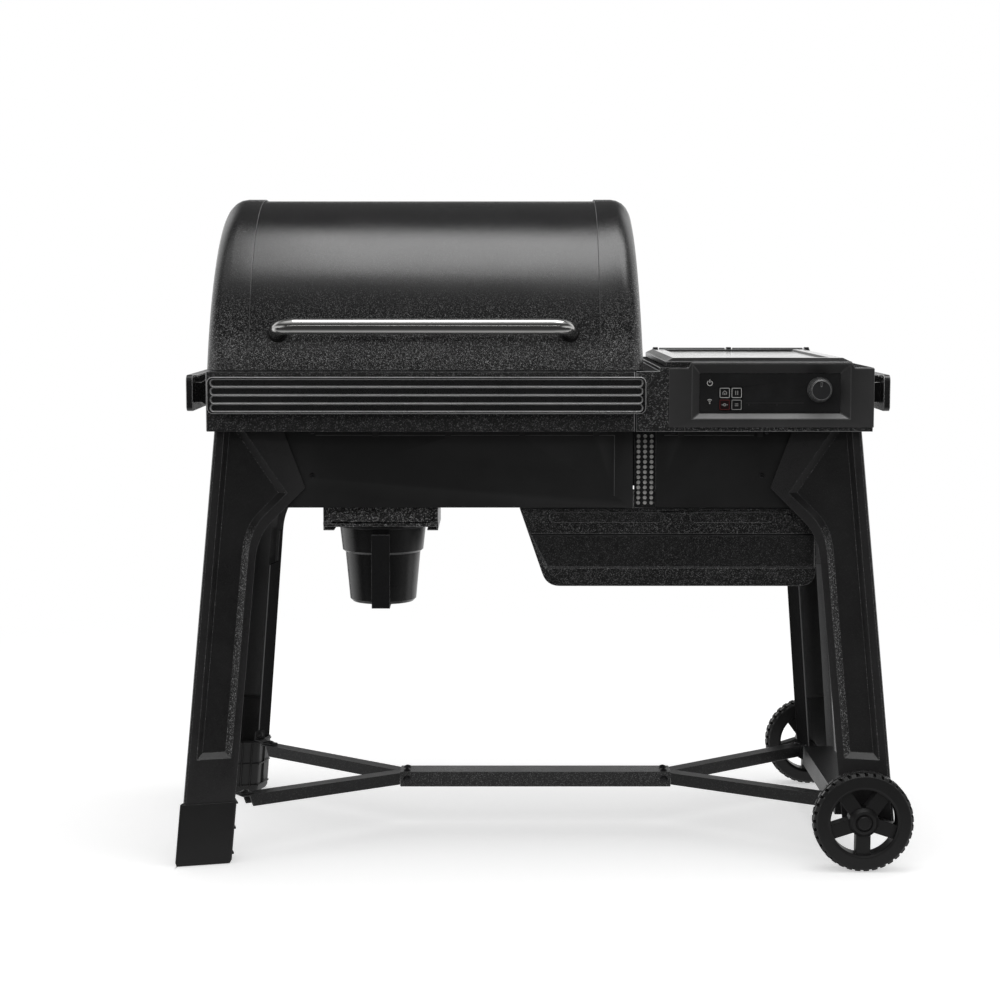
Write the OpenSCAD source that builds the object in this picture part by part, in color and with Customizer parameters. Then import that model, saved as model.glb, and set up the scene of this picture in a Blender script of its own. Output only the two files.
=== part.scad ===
// Pellet smoker grill: a hooded barrel and a pellet hopper carried on a splayed four-leg cart.
// X runs to the right along the grill, Y runs to its back and Z runs up, in millimetres.
// The floor is Z = 0 and the origin lies under the middle of the whole grill.
// Inside the modules X is measured from the middle plane of the cart, and the heights on the body
// are those over plain legs, with nothing added to them.

/* [Cart] */
// Reach of a leg corner from the middle plane, at the floor
foot_reach_x = 601; // [596:1:604]
// Reach of a leg corner front and back, at the floor
foot_reach_y = 299; // [299:1:302]
// Lean of each leg corner, outward both ways
splay = 4.9; // [4.7:0.1:4.9]
// Height added to the legs under the body
leg_extra = 16; // [0:1:20]
// Turn of a leg face inward from the body face beside it
leg_yaw = 15; // [14:0.5:15]
// Width of the straight part of a leg face
leg_w = 89; // [86:1:92]
// Depth of the pressed recess in a leg face
recess_depth = 10; // [6:1:10]
// Height of the moulded boots
boot_h = 103; // [95:1:110]

/* [Wheels] */
// Outer diameter of a wheel
wheel_d = 165; // [160:1:168]
// Width of a wheel
wheel_w = 36; // [32:1:36]
// Diameter of the axle rod
axle_d = 16; // [14:1:18]
// Number of spokes
spokes = 5; // [5, 6, 7]
// Number of tread blocks in each of the two rows
tread_blocks = 36; // [30, 36, 40]

/* [Barrel] */
// Bottom of the textured band, where the legs meet it
band_z0 = 707; // [705:1:709]
// Top of the textured band
band_z1 = 805; // [803:1:805]
// Reach of the band to the front
band_front = 274; // [272:1:276]
// Half depth of the skirt below the band
skirt_half = 199; // [196:1:199]
// Lower edge of the skirt
skirt_z0 = 574; // [572:1:580]
// Height of the accessory rails
rail_h = 60; // [54:1:62]

/* [Lid] */
// Length of the lid
lid_l = 720; // [710:1:722]
// Radius of the front and top of the lid
lid_r = 300; // [298:1:302]
// Rounding of the drawn ends
lid_end_r = 31; // [28:1:46]
// Lean of the drawn ends
lid_draft = 2.4; // [2:0.1:4]
// Length of the bar handle
handle_l = 505; // [480:5:520]
// Diameter of the bar handle
handle_d = 25; // [20:1:26]

/* [Hopper] */
// Top of the hopper housing
hopper_z1 = 812; // [811:1:813]
// Height of the hopper lid above the housing
hopper_lid_h = 15; // [13:1:16]

/* [Panel] */
// Length of the glass window
window_w = 231; // [228:1:232]
// Height of the glass window
window_h = 65; // [63:1:66]
// Depth of the glass behind the face of the bezel
window_depth = 11; // [8:1:12]
// Side of a button
button_w = 17.6; // [15:0.1:18]
// Distance between neighbouring buttons
button_pitch = 19.6; // [19.6:0.1:21]
// Diameter of the dial knob
knob_d = 41; // [38:1:44]

/* [Underside] */
// Radius of the bucket under its rim
bucket_r = 74; // [70:1:75]
// Height of the bucket
bucket_h = 135; // [126:1:140]
// Turns of the auger flight
auger_turns = 7; // [5:1:9]
// Number of blades on the fan wheel
fan_blades = 9; // [7, 9, 11]

/* [Hidden] */
$fn = 48;
sheet = 2.5;
lean = tan(splay);
wheel_r = wheel_d / 2;
axle_x = 535.6;
axle_z = wheel_r;
mid_x = (foot_reach_x + 2.18 - axle_x - wheel_r) / 2;

band_back = 266;
band_x0 = -545;
band_x1 = 158;
hopper_x0 = 160;
hopper_x1 = 548;
screen_x0 = 162;
screen_x1 = 198;
skirt_x = 492;
deck_z = hopper_z1;

lid_cx = -186.5;
lid_z0 = 807;
lid_cy = 30;
lid_cz = 1093 - lid_r;
lid_back = 262;
lid_rear_r = 70;
rear_cy = lid_back - lid_rear_r;
rear_cz = lid_cz + sqrt(pow(lid_r - lid_rear_r, 2) - pow(rear_cy - lid_cy, 2));
lid_blend = atan2(rear_cz - lid_cz, rear_cy - lid_cy);
lid_seam = 73;
hinge_y = 281;
hinge_z = 815;
hinge_xs = [-430, 60];
handle_rise = 14.4;
handle_out = 48;

panel_y = -278;
window_cx = 379.5;
window_cz = 769.5;
knob_x = 461;
knob_z = 775.5;
button_x = 315;
button_z = 760.6;

auger_y = -20;
auger_z = 532;
pot_x = 62;
bucket_x = -265;
bucket_y = -108;
bucket_z1 = 539;

paint = [0.11, 0.11, 0.12];
coat = [0.16, 0.16, 0.17];
plastic = [0.13, 0.13, 0.14];
gloss = [0.03, 0.03, 0.035];
bright = [0.72, 0.72, 0.70];
steel = [0.45, 0.45, 0.45];

// A smooth bend through three points, as a list of points
function bend(a, b, c, n) =
    [for (i = [0 : n]) let (t = i / n) (1 - t) * (1 - t) * a + 2 * t * (1 - t) * b + t * t * c];

function unit(v) = v / norm(v);

// Where two lines cross, each given by a point and a direction
function meet(p, d, q, e) =
    let (k = d[0] * e[1] - d[1] * e[0])
    p + d * (((q[0] - p[0]) * e[1] - (q[1] - p[1]) * e[0]) / k);

// A counter-clockwise outline drawn in by d on every side
function inset(pts, d) =
    let (n = len(pts))
    [for (i = [0 : n - 1])
        let (a = pts[(i + n - 1) % n], b = pts[i], c = pts[(i + 1) % n],
             u = unit(b - a), v = unit(c - b),
             nu = [-u[1], u[0]], nv = [-v[1], v[0]])
        abs(u[0] * v[1] - u[1] * v[0]) < 0.001 ? b + nu * d : meet(b + nu * d, u, b + nv * d, v)];

// A solid skinned over rings that all have the same number of points; a ring that bends inward
// has its ends closed by strips, each between two points of one side and two of the other
module loft(rings, strips = false) {
    m = len(rings[0]);
    n = len(rings);
    whole = [[for (i = [0 : m - 1]) i]];
    ends = strips ? [for (i = [0 : m / 2 - 2]) [i, i + 1, m - 2 - i, m - 1 - i]] : whole;
    polyhedron(
        points = [for (r = rings) each r],
        faces = concat(
            ends,
            [for (j = [0 : n - 2], i = [0 : m - 1])
                [j * m + i, (j + 1) * m + i, (j + 1) * m + (i + 1) % m]],
            [for (j = [0 : n - 2], i = [0 : m - 1])
                [j * m + i, (j + 1) * m + (i + 1) % m, j * m + (i + 1) % m]],
            [for (e = ends) [for (i = [len(e) - 1 : -1 : 0]) (n - 1) * m + e[i]]]));
}

// A flat outline lifted to one height, and a rectangle as such an outline
function level(pts, z) = [for (p = pts) [p[0], p[1], z]];
function rect(x0, x1, y0, y1) = [[x0, y0], [x1, y0], [x1, y1], [x0, y1]];

// A box between two corners
module block(x0, x1, y0, y1, z0, z1) {
    translate([x0, y0, z0]) cube([x1 - x0, y1 - y0, z1 - z0]);
}

// A rectangular frame of sheet standing between two heights
module frame(x0, x1, y0, y1, z0, z1, t) {
    difference() {
        block(x0, x1, y0, y1, z0, z1);
        block(x0 + t, x1 - t, y0 + t, y1 - t, z0 - 1, z1 + 1);
    }
}

// A flat outline with round corners of true arcs
module round_plate(w, h, r) {
    square([w - 2 * r, h], center = true);
    square([w, h - 2 * r], center = true);
    for (x = [-1, 1], y = [-1, 1]) translate([x * (w / 2 - r), y * (h / 2 - r)]) circle(r);
}

module along_x(x0, x1, y, z, r) {
    translate([x0, y, z]) rotate([0, 90, 0]) cylinder(r = r, h = x1 - x0);
}

module along_y(x, y0, y1, z, r) {
    translate([x, y0, z]) rotate([-90, 0, 0]) cylinder(r = r, h = y1 - y0);
}

// Legs: one corner leg is drawn with its corner line through the origin at the floor and its
// faces running toward -X and -Y, then mirrored to the four corners of the cart.

corner = [-lean, -lean, 1];
face_run = [-cos(leg_yaw), -sin(leg_yaw), 0];
face_k = corner * face_run;
face_up = unit(corner - face_k * face_run);
face_out = cross(face_run, face_up);
face_q = norm(corner - face_k * face_run);

// Turns (distance from the corner, height) into flat coordinates on the leg face
function on_face(pts) = [for (p = pts) [p[0] + face_k * p[1], face_q * p[1]]];
function face_ring(pts, d) = [for (p = on_face(pts)) [p[0], p[1], d]];

// Top of a leg, and the height where its inner edge starts to flare
leg_top = band_z0 + leg_extra;
knee_z = leg_top - 219;

function leg_outline(z0) = concat(
    [[7, z0], [leg_w, z0]],
    bend([leg_w, knee_z], [leg_w, knee_z + 43], [leg_w + 24, knee_z + 67], 6),
    [[163, knee_z + 120], [106, leg_top + 23], [7, leg_top + 23]]);

// The recess, with a point on its straight side for each point on its bent side
recess_bent = concat(
    [[leg_w - 12, 176]],
    bend([leg_w - 12, knee_z + 12], [leg_w - 12, knee_z + 52], [leg_w + 7, knee_z + 73], 6),
    [[133, knee_z + 112], [40.7, leg_top + 13]]);
recess_outline = concat(
    recess_bent,
    [for (i = [len(recess_bent) - 1 : -1 : 0]) [19, recess_bent[i][1]]]);

// A strip of sheet along the face, between two heights
function rect_face(u, z0, z1) = [[u - sheet, z0], [u, z0], [u, z1], [u - sheet, z1]];

module leg_face(z0, flange) {
    multmatrix([
        [face_run[0], face_up[0], face_out[0], 0],
        [face_run[1], face_up[1], face_out[1], 0],
        [face_run[2], face_up[2], face_out[2], 0],
        [0, 0, 0, 1]]) {
        difference() {
            union() {
                translate([0, 0, -sheet]) linear_extrude(sheet) polygon(on_face(leg_outline(z0)));
                loft([
                    face_ring(inset(recess_outline, recess_depth - sheet), -recess_depth - sheet),
                    face_ring(inset(recess_outline, -sheet), -0.2)], true);
            }
            loft([
                face_ring(inset(recess_outline, recess_depth), -recess_depth),
                face_ring(inset(recess_outline, -1), 1)], true);
        }
        // flanges turned in along the inner edge, each a hair inside the one before
        translate([0, 0, -flange]) linear_extrude(flange - 0.1)
            polygon(on_face(rect_face(leg_w - 0.1, z0, knee_z - 58)));
        translate([0, 0, -15]) linear_extrude(14.8)
            polygon(on_face(rect_face(leg_w - 0.25, knee_z - 63, knee_z)));
    }
}

// Plan of the rounded bend that joins the two faces of a leg, a hair inside their outer sides
flat_run = [face_run[0], face_run[1]];
side_run = [face_run[1], face_run[0]];
flat_out = unit([face_out[0], face_out[1]]);
side_out = [flat_out[1], flat_out[0]];
corner_plan = concat(
    bend(side_run * 10 - side_out * 0.1, [0, 0], flat_run * 10 - flat_out * 0.1, 6),
    [flat_run * 10 - flat_out * 2.3, side_run * 10 - side_out * 2.3]);

function leaned(pts, z) = [for (p = pts) [p[0] - lean * z, p[1] - lean * z, z]];

module leg(z0) {
    color(paint) intersection() {
        union() {
            leg_face(z0 - 5, 55);
            mirror([1, -1, 0]) leg_face(z0 - 5, 15);
            loft([leaned(corner_plan, z0 - 5), leaned(corner_plan, leg_top + 23)]);
        }
        // cuts both ends level
        block(-400, 200, -400, 200, z0, leg_top);
    }
}

module corner_place(sx, sy) {
    mirror([sx < 0 ? 1 : 0, 0, 0]) mirror([0, sy < 0 ? 1 : 0, 0])
        translate([foot_reach_x, foot_reach_y, 0]) children();
}

module leg_wheeled(sy) {
    difference() {
        corner_place(1, sy) leg(58);
        color(paint) along_y(axle_x, -330, 330, axle_z, axle_d / 2 + 0.05);
    }
}

module leg_front_left() { corner_place(-1, -1) leg(9); }
module leg_rear_left() { corner_place(-1, 1) leg(9); }
module leg_front_right() { leg_wheeled(-1); }
module leg_rear_right() { leg_wheeled(1); }

// Boots: a moulded cup round the foot of a left leg, ribbed on its inner walls
foot_plan = [[0, 0], flat_run * leg_w, flat_run * leg_w - flat_out * 55, side_run * leg_w];

// The plan of the boot at one height, rounded where the two faces meet
function boot_plan(d) =
    let (p = inset(foot_plan, -d))
    concat(
        bend(p[0] + side_run * 9, p[0], p[0] + flat_run * 9, 5),
        bend(p[1] - flat_run * 6, p[1], p[1] - flat_out * 6, 3),
        bend(p[2] + flat_out * 8, p[2], p[2] + unit(p[3] - p[2]) * 8, 3),
        bend(p[3] - unit(p[3] - p[2]) * 6, p[3], p[3] - side_run * 6, 3));

// Plan of the level ribs, which stand out from the two inner walls only
foot_mid = (foot_plan[0] + foot_plan[1] + foot_plan[2] + foot_plan[3]) / 4;
rib_edge = inset(foot_plan, -6);
rib_plan = [rib_edge[1] - flat_out * 9, rib_edge[2], rib_edge[3] - side_out * 9, foot_mid];

// Plan of an upright rib part way along the wall from a to b
function rib_spot(a, b, t) =
    let (c = a + (b - a) * t, d = unit(b - a), n = [d[1], -d[0]])
    [c - d * 1.5 + n * 6, c + d * 1.5 + n * 6, c + d * 1.5 + n, c - d * 1.5 + n];

module boot() {
    color(plastic) difference() {
        union() {
            loft([leaned(inset(boot_plan(3.2), 3), 0), leaned(boot_plan(3.2), 6),
                  leaned(boot_plan(3.2), boot_h)]);
            for (z = [14, 56, boot_h - 5]) loft([leaned(rib_plan, z), leaned(rib_plan, z + 3)]);
            for (t = [0.25, 0.6])
                loft([leaned(rib_spot(foot_plan[2], foot_plan[3], t), 14),
                      leaned(rib_spot(foot_plan[2], foot_plan[3], t), boot_h - 2)]);
            loft([leaned(rib_spot(foot_plan[1], foot_plan[2], 0.6), 14),
                  leaned(rib_spot(foot_plan[1], foot_plan[2], 0.6), boot_h - 2)]);
        }
        loft([leaned(inset(foot_plan, -0.4), 8.5), leaned(inset(foot_plan, -0.4), boot_h + 5)]);
    }
}

module foot_front_left() { corner_place(-1, -1) boot(); }
module foot_rear_left() { corner_place(-1, 1) boot(); }

// Brace: a flat centre bar with four arms that run out to the leg flanges

bar_half = 241.5;
bar_z0 = 71;
bar_z1 = 98;
arm_end = [507, 204];
arm_start = [215, -10];
arm_turn = atan2(arm_end[1] - arm_start[1], arm_end[0] - arm_start[0]);
arm_len = norm(arm_end - arm_start);
arm_w = 27;
arm_rise = 5;

module brace_bar() {
    color(coat) difference() {
        block(-bar_half, bar_half, -25, 25, bar_z0, bar_z1);
        block(-bar_half + 40, bar_half - 40, -22.5, 22.5, bar_z0 + sheet, bar_z1 - sheet);
        for (s = [-1, 1]) {
            block(s * bar_half - 40, s * bar_half + 40, -22.5, 22.5, bar_z0 + sheet, bar_z1 - sheet);
        }
    }
}

// An arm is a channel, open below, that rises a little to the leg; its sides end in a bevel and
// its top runs on to the leg as a tab
module arm(sx, sy) {
    mirror([sx < 0 ? 1 : 0, 0, 0]) mirror([0, sy < 0 ? 1 : 0, 0]) color(coat)
        intersection() {
            translate([arm_start[0], arm_start[1], 0]) rotate([0, 0, arm_turn]) difference() {
                translate([0, arm_w / 2, 0]) rotate([90, 0, 0]) linear_extrude(arm_w)
                    polygon([[0, bar_z0 + 3], [arm_len - 20, bar_z0 + 3 + arm_rise],
                             [arm_len - 13, bar_z1 - 5.5 + arm_rise], [arm_len, bar_z1 - 5.5 + arm_rise],
                             [arm_len, bar_z1 - 3 + arm_rise], [0, bar_z1 - 3]]);
                translate([0, arm_w / 2 - sheet, 0]) rotate([90, 0, 0])
                    linear_extrude(arm_w - 2 * sheet)
                        polygon([[-5, bar_z0 - 5], [arm_len + 5, bar_z0 - 5],
                                 [arm_len + 5, bar_z1 - 5.5 + arm_rise], [-5, bar_z1 - 5.5]]);
            }
            union() {
                block(bar_half + 0.1, 600, 0.3, 300, 0, 200);
                block(100, bar_half + 0.2, 0.3, 22.2, 0, 200);
            }
        }
}

module arm_front_left() { arm(-1, -1); }
module arm_rear_left() { arm(-1, 1); }
module arm_front_right() { arm(1, -1); }
module arm_rear_right() { arm(1, 1); }

// Dome bolts on the top and the front of the brace bar, at both ends
module brace_bolts() {
    color(steel) for (s = [-1, 1]) {
        for (y = [-14, 14]) translate([s * (bar_half - 12), y, bar_z1]) dome(6.5, 4);
        translate([s * (bar_half - 12), -25, (bar_z0 + bar_z1) / 2]) rotate([90, 0, 0]) dome(6.5, 4);
        translate([s * (bar_half - 12), 25, (bar_z0 + bar_z1) / 2]) rotate([-90, 0, 0]) dome(6.5, 4);
    }
}

// A round-headed bolt head with a hexagon socket
module dome(r, h) {
    difference() {
        rotate_extrude() polygon(concat([[0, 0], [r, 0]],
            [for (i = [0 : 5]) [r * cos(i * 18), 0.8 + (h - 0.8) * sin(i * 18)]], [[0, h]]));
        translate([0, 0, h - 1.6]) cylinder(r = r * 0.42, h = 3, $fn = 6);
    }
}

wheel_y = foot_reach_y + 15.2;
axle_half = wheel_y + wheel_w / 2 - 0.7;

// Channel over the axle, with end plates that the axle runs through
module axle_channel() {
    color(paint) difference() {
        block(axle_x - 27, axle_x + 27, -192, 192, 62, 97);
        block(axle_x - 24.5, axle_x + 24.5, -189.5, 189.5, 0, 94.5);
        along_y(axle_x, -300, 300, axle_z, axle_d / 2 + 0.05);
    }
}

module axle() {
    color(steel) {
        along_y(axle_x, -axle_half, axle_half, axle_z, axle_d / 2);
        for (s = [0, 1]) mirror([0, s, 0]) translate([axle_x, -axle_half, axle_z]) rotate([90, 0, 0])
            rotate_extrude() polygon([[0, -1], [11.5, -1], [11.5, 2], [9.5, 4], [0, 4]]);
    }
}

// A wheel with a hub, flat spokes, a rim and a two-row block tread; its axis is Y and its
// outer side faces -Y
module wheel() {
    hub_r = 24.5;
    rim_r = 55;
    rotate([90, 0, 0]) difference() {
        union() {
            rotate_extrude() polygon([
                [rim_r, -wheel_w / 2 + 3], [rim_r + 4, -wheel_w / 2], [wheel_r - 6, -wheel_w / 2],
                [wheel_r, -wheel_w / 2 + 6], [wheel_r, wheel_w / 2 - 6],
                [wheel_r - 6, wheel_w / 2], [rim_r + 4, wheel_w / 2], [rim_r, wheel_w / 2 - 3]]);
            rotate_extrude() polygon([
                [0, -wheel_w / 2], [hub_r - 3, -wheel_w / 2], [hub_r, -wheel_w / 2 + 3],
                [hub_r, wheel_w / 2 - 6], [hub_r - 6, wheel_w / 2], [0, wheel_w / 2]]);
            for (i = [0 : spokes - 1]) rotate([0, 0, -90 + i * 360 / spokes])
                translate([hub_r - 4, -12, -wheel_w / 2 + 6])
                    cube([rim_r - hub_r + 8, 24, wheel_w - 14]);
        }
        translate([0, 0, -50]) cylinder(r = axle_d / 2 + 0.05, h = 100);
        translate([0, 0, wheel_w / 2 - 2]) cylinder(r = 14, h = 10);
        // tread grooves: a ring groove and two staggered rows of cross cuts
        rotate_extrude() polygon([[wheel_r - 4, -2], [wheel_r + 2, -2], [wheel_r + 2, 2], [wheel_r - 4, 2]]);
        for (i = [0 : tread_blocks - 1], s = [0, 1])
            rotate([0, 0, (i + s / 2) * 360 / tread_blocks]) mirror([0, 0, s])
                translate([wheel_r - 4.5, -2.4, 4]) rotate([14, 0, 0]) cube([9, 4.8, 30]);
    }
}

module wheel_front() { color(plastic) translate([axle_x, -wheel_y, axle_z]) wheel(); }
module wheel_rear() { color(plastic) mirror([0, 1, 0]) translate([axle_x, -wheel_y, axle_z]) wheel(); }

// Barrel

module barrel_band() {
    color(coat) difference() {
        union() {
            frame(band_x0, band_x1, -band_front, band_back, band_z0, band_z1, sheet);
            // shelf that the skirt, the tub and the legs meet
            difference() {
                block(band_x0, band_x1, -band_front, band_back, band_z0, band_z0 + sheet);
                block(-skirt_x + 12, band_x1 - 12, -skirt_half + 12, skirt_half - 12, 0, 900);
            }
            // rolled top rim
            difference() {
                block(band_x0, band_x1, -band_front, band_back, band_z1 - 4, band_z1);
                block(band_x0 + 16, band_x1 - 16, -band_front + 16, band_back - 16, 0, 900);
            }
            // ledges under the grates
            block(band_x0 + 1, band_x1 - 1, -band_front + 1, -band_front + 20, 757, 759.5);
            block(band_x0 + 1, band_x1 - 1, band_back - 20, band_back - 1, 757, 759.5);
        }
        // vent slots in the back wall, under the exhaust hood
        for (i = [0 : 8]) block(-440 + i * 60, -405 + i * 60, band_back - 10, band_back + 5, 768, 780);
        // hole for the temperature probe in the left wall
        along_x(band_x0 - 5, band_x0 + 10, 60, 745, 4.05);
    }
}

tub_x0 = -480;
tub_x1 = 146;
tub_half = 184;
tub_z0 = 600;
tub_r = 80;

// The cross-section of the tub: straight walls and a bottom with true round corners
module tub_section(d) {
    translate([0, tub_z0 + d]) {
        translate([-tub_half + d, tub_r]) square([2 * (tub_half - d), 200]);
        translate([-tub_half + tub_r, 0]) square([2 * (tub_half - tub_r), tub_r + 1]);
        for (s = [-1, 1]) translate([s * (tub_half - tub_r), tub_r - d]) circle(tub_r - d);
    }
}

module barrel_tub() {
    color(steel) difference() {
        union() {
            translate([tub_x0, 0, 0]) rotate([90, 0, 90]) linear_extrude(tub_x1 - tub_x0)
                intersection() {
                    tub_section(0);
                    translate([-250, 550]) square([500, band_z0 + sheet + 2 - 550]);
                }
            // rim that hangs on the shelf of the band
            block(tub_x0 - 8, tub_x1 + 8, -tub_half - 14, tub_half + 14,
                  band_z0 + sheet, band_z0 + sheet + 2);
            // drain spout over the bucket
            translate([bucket_x, bucket_y, 548]) cylinder(r = 22, h = 60);
        }
        translate([tub_x0 + 2, 0, 0]) rotate([90, 0, 90]) linear_extrude(tub_x1 - tub_x0 - 4)
            tub_section(2);
        translate([bucket_x, bucket_y, 500]) cylinder(r = 19, h = 150);
        translate([pot_x, auger_y, 500]) cylinder(r = 62, h = 150);
    }
}

// A skirt panel with a hem line pressed along its top and down one end
module hem_groove(x0, x1, y) {
    block(x0, x1, y - 0.6, y + 0.6, band_z0 - 12, band_z0 - 10.5);
}

module barrel_skirt() {
    color(paint) difference() {
        union() {
            block(-skirt_x, hopper_x0, -skirt_half, -skirt_half + 2, skirt_z0, band_z0);
            block(-skirt_x, hopper_x0, skirt_half - 2, skirt_half, skirt_z0, band_z0);
            block(-skirt_x, -skirt_x + 2, -skirt_half, skirt_half, skirt_z0, band_z0);
            block(hopper_x0 - 2, hopper_x0, -skirt_half, skirt_half, skirt_z0, band_z0);
            // hem turned in along the bottom
            block(-skirt_x, hopper_x0, -skirt_half, -skirt_half + 18, skirt_z0, skirt_z0 + 2);
            block(-skirt_x, hopper_x0, skirt_half - 18, skirt_half, skirt_z0, skirt_z0 + 2);
            // clips under the band
            for (x = [-272, -150, -26, 98])
                block(x - 5, x + 5, -skirt_half - 3, -skirt_half + 1, band_z0 - 14, band_z0 - 2);
            // screws
            for (p = [[-378, 702], [-378, 628]]) panel_screw(p[0], p[1]);
        }
        hem_groove(-372, 128, -skirt_half);
        block(128, 129.5, -skirt_half - 0.6, -skirt_half + 0.6, skirt_z0 + 20, band_z0 - 10.5);
        along_x(hopper_x0 - 10, hopper_x0 + 10, auger_y, auger_z, 40);
    }
}

module panel_screw(x, z) {
    translate([x, -skirt_half + 0.5, z]) rotate([90, 0, 0]) dome(4.5, 3);
}

// Rails: a plate with round ends, a raised border and long grooves between its ribs
module rail_plate(l) {
    groove = (rail_h - 8) / 4.6;
    difference() {
        linear_extrude(11) round_plate(l, rail_h, 10);
        for (i = [-1.5 : 1 : 1.5]) translate([0, i * (rail_h - 6) / 4, 7])
            linear_extrude(10) round_plate(l - 12, groove, groove / 2 - 0.5);
    }
    // lip that accessories hook over
    translate([-l / 2 + 12, rail_h / 2 - 3, -6]) cube([l - 24, 3, 7]);
}

rail_z = 768;

module front_rail() {
    color(plastic) translate([-182.5, -band_front - 21, rail_z]) rotate([90, 0, 0]) rail_plate(713);
}

module left_rail() {
    color(plastic) translate([band_x0 - 27, 0, rail_z]) rotate([90, 0, -90]) rail_plate(470);
}

module right_rail() {
    color(plastic) translate([hopper_x1 + 24, 0, rail_z]) rotate([90, 0, 90]) rail_plate(470);
}

// A stand-off that tapers from the body to the back of a rail, pointing along +Z
module standoff(h) {
    loft([level(rect(-19, 19, -28, 28), 0), level(rect(-13, 13, -17, 17), h * 0.6),
          level(rect(-13, 13, -17, 17), h)]);
}

module rail_standoffs() {
    color(plastic) {
        for (x = [-500, 135]) translate([x, -band_front, rail_z]) rotate([90, 0, 0]) standoff(21);
        for (y = [-190, 190]) {
            translate([band_x0, y, rail_z]) rotate([90, 0, -90]) standoff(27);
            translate([hopper_x1, y, rail_z]) rotate([90, 0, 90]) standoff(24);
        }
    }
}

// Perforated screens, front and back, across the air gap between barrel and hopper
module heat_screens() {
    color(coat) for (s = [0, 1]) mirror([0, s, 0]) difference() {
        block(screen_x0, screen_x1, -skirt_half, -skirt_half + 1.5, skirt_z0, band_z0);
        for (i = [0 : 2], j = [0 : 13])
            along_y(screen_x0 + 7 + i * 11, -skirt_half - 1, -skirt_half + 4, skirt_z0 + 8.4 + j * 8.6, 3.3);
    }
}

// Hopper

module hopper_housing() {
    color(coat) {
        difference() {
            union() {
                frame(hopper_x0, hopper_x1, -band_front, band_back, band_z0, deck_z - 6, sheet);
                block(hopper_x0, hopper_x1, -band_front, band_back, band_z0, band_z0 + sheet);
                block(hopper_x0 + 38, hopper_x1, -band_front, band_back, deck_z - 8, deck_z);
                block(hopper_x0, hopper_x0 + 40, -band_front, band_back, deck_z - 8.5, deck_z - 6);
            }
            // way into the bin, and the hole down through the bottom shelf
            block(215, 509, -208, 236, deck_z - 20, deck_z + 5);
            block(214, 488, -186, 186, band_z0 - 5, band_z0 + 10);
            // front opening that the tray of the bezel goes through
            block(244, 517, -band_front - 5, -band_front + 15, 722, deck_z + 5);
            // power inlet cut-out in the back wall
            block(300, 332, band_back - 10, band_back + 5, 733, 757);
        }
        // ears that hold the hinge pin of the lid
        for (x = [229, 366.5, 513]) difference() {
            union() {
                block(x - 5, x + 5, 251, 265, deck_z - 1, deck_z + 11);
                along_x(x - 5, x + 5, 258, deck_z + 11, 7);
            }
            along_x(x - 10, x + 10, 258, deck_z + 11, 3);
        }
    }
}

// The bin: straight walls that narrow to a chute over the auger
module hopper_bin() {
    color(steel) difference() {
        loft([level(rect(296, 364, -54, 14), 563), level(rect(296, 364, -54, 14), 588),
              level(rect(217, 485, -182, 182), band_z0 + 6),
              level(rect(217, 507, -206, 234), band_z0 + 26),
              level(rect(217, 507, -206, 234), deck_z - 1)]);
        loft([level(rect(298, 362, -52, 12), 560), level(rect(298, 362, -52, 12), 588.8),
              level(rect(219, 483, -180, 180), band_z0 + 6.8),
              level(rect(219, 505, -204, 232), band_z0 + 26.8),
              level(rect(219, 505, -204, 232), deck_z + 5)]);
    }
}

module hopper_skirt() {
    color(paint) difference() {
        union() {
            block(screen_x1 + 0.5, skirt_x, -skirt_half, -skirt_half + 2, skirt_z0, band_z0);
            block(screen_x1 + 0.5, skirt_x, skirt_half - 2, skirt_half, skirt_z0, band_z0);
            block(skirt_x - 2, skirt_x, -skirt_half, skirt_half, skirt_z0, band_z0);
            block(screen_x1 + 0.5, screen_x1 + 2.5, -skirt_half, skirt_half, skirt_z0, band_z0);
            block(screen_x1 + 0.5, skirt_x, -skirt_half, -skirt_half + 18, skirt_z0, skirt_z0 + 2);
            block(screen_x1 + 0.5, skirt_x, skirt_half - 18, skirt_half, skirt_z0, skirt_z0 + 2);
            for (x = [240, 372])
                block(x - 5, x + 5, -skirt_half - 3, -skirt_half + 1, band_z0 - 14, band_z0 - 2);
            for (p = [[228, 702], [384, 702], [376, 628]]) panel_screw(p[0], p[1]);
        }
        hem_groove(212, 362, -skirt_half);
        along_x(screen_x1 - 10, screen_x1 + 10, auger_y, auger_z, 40);
    }
}

// Lid of the hopper: a raised border round a sunk panel, with two long hinge barrels
module hopper_lid() {
    x0 = 210;
    x1 = 514;
    y0 = -257;
    y1 = 247;
    z0 = deck_z + 0.6;
    zt = deck_z + hopper_lid_h;
    outline = rect(x0, x1, y0, y1);
    color(coat) {
        difference() {
            loft([level(outline, z0), level(outline, zt - 6), level(inset(outline, 12), zt)]);
            loft([level(inset(outline, 3), z0 - 2), level(inset(outline, 3), zt - 8.5),
                  level(inset(outline, 13), zt - 5.5)]);
            loft([level(inset(outline, 36), zt - 2.5), level(inset(outline, 30), zt + 1)]);
        }
        for (x = [[236, 359.5], [373.5, 506]]) difference() {
            union() {
                along_x(x[0], x[1], 258, deck_z + 11, 6);
                block(x[0], x[1], 240, 258, deck_z + 6, deck_z + 9);
            }
            along_x(x[0] - 5, x[1] + 5, 258, deck_z + 11, 3.05);
        }
    }
}

module hopper_hinge_pin() {
    color(steel) along_x(222, 520, 258, deck_z + 11, 3);
}

// Control panel: the bezel has a deep bevelled window, with a hood over it, and a tray behind

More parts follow.
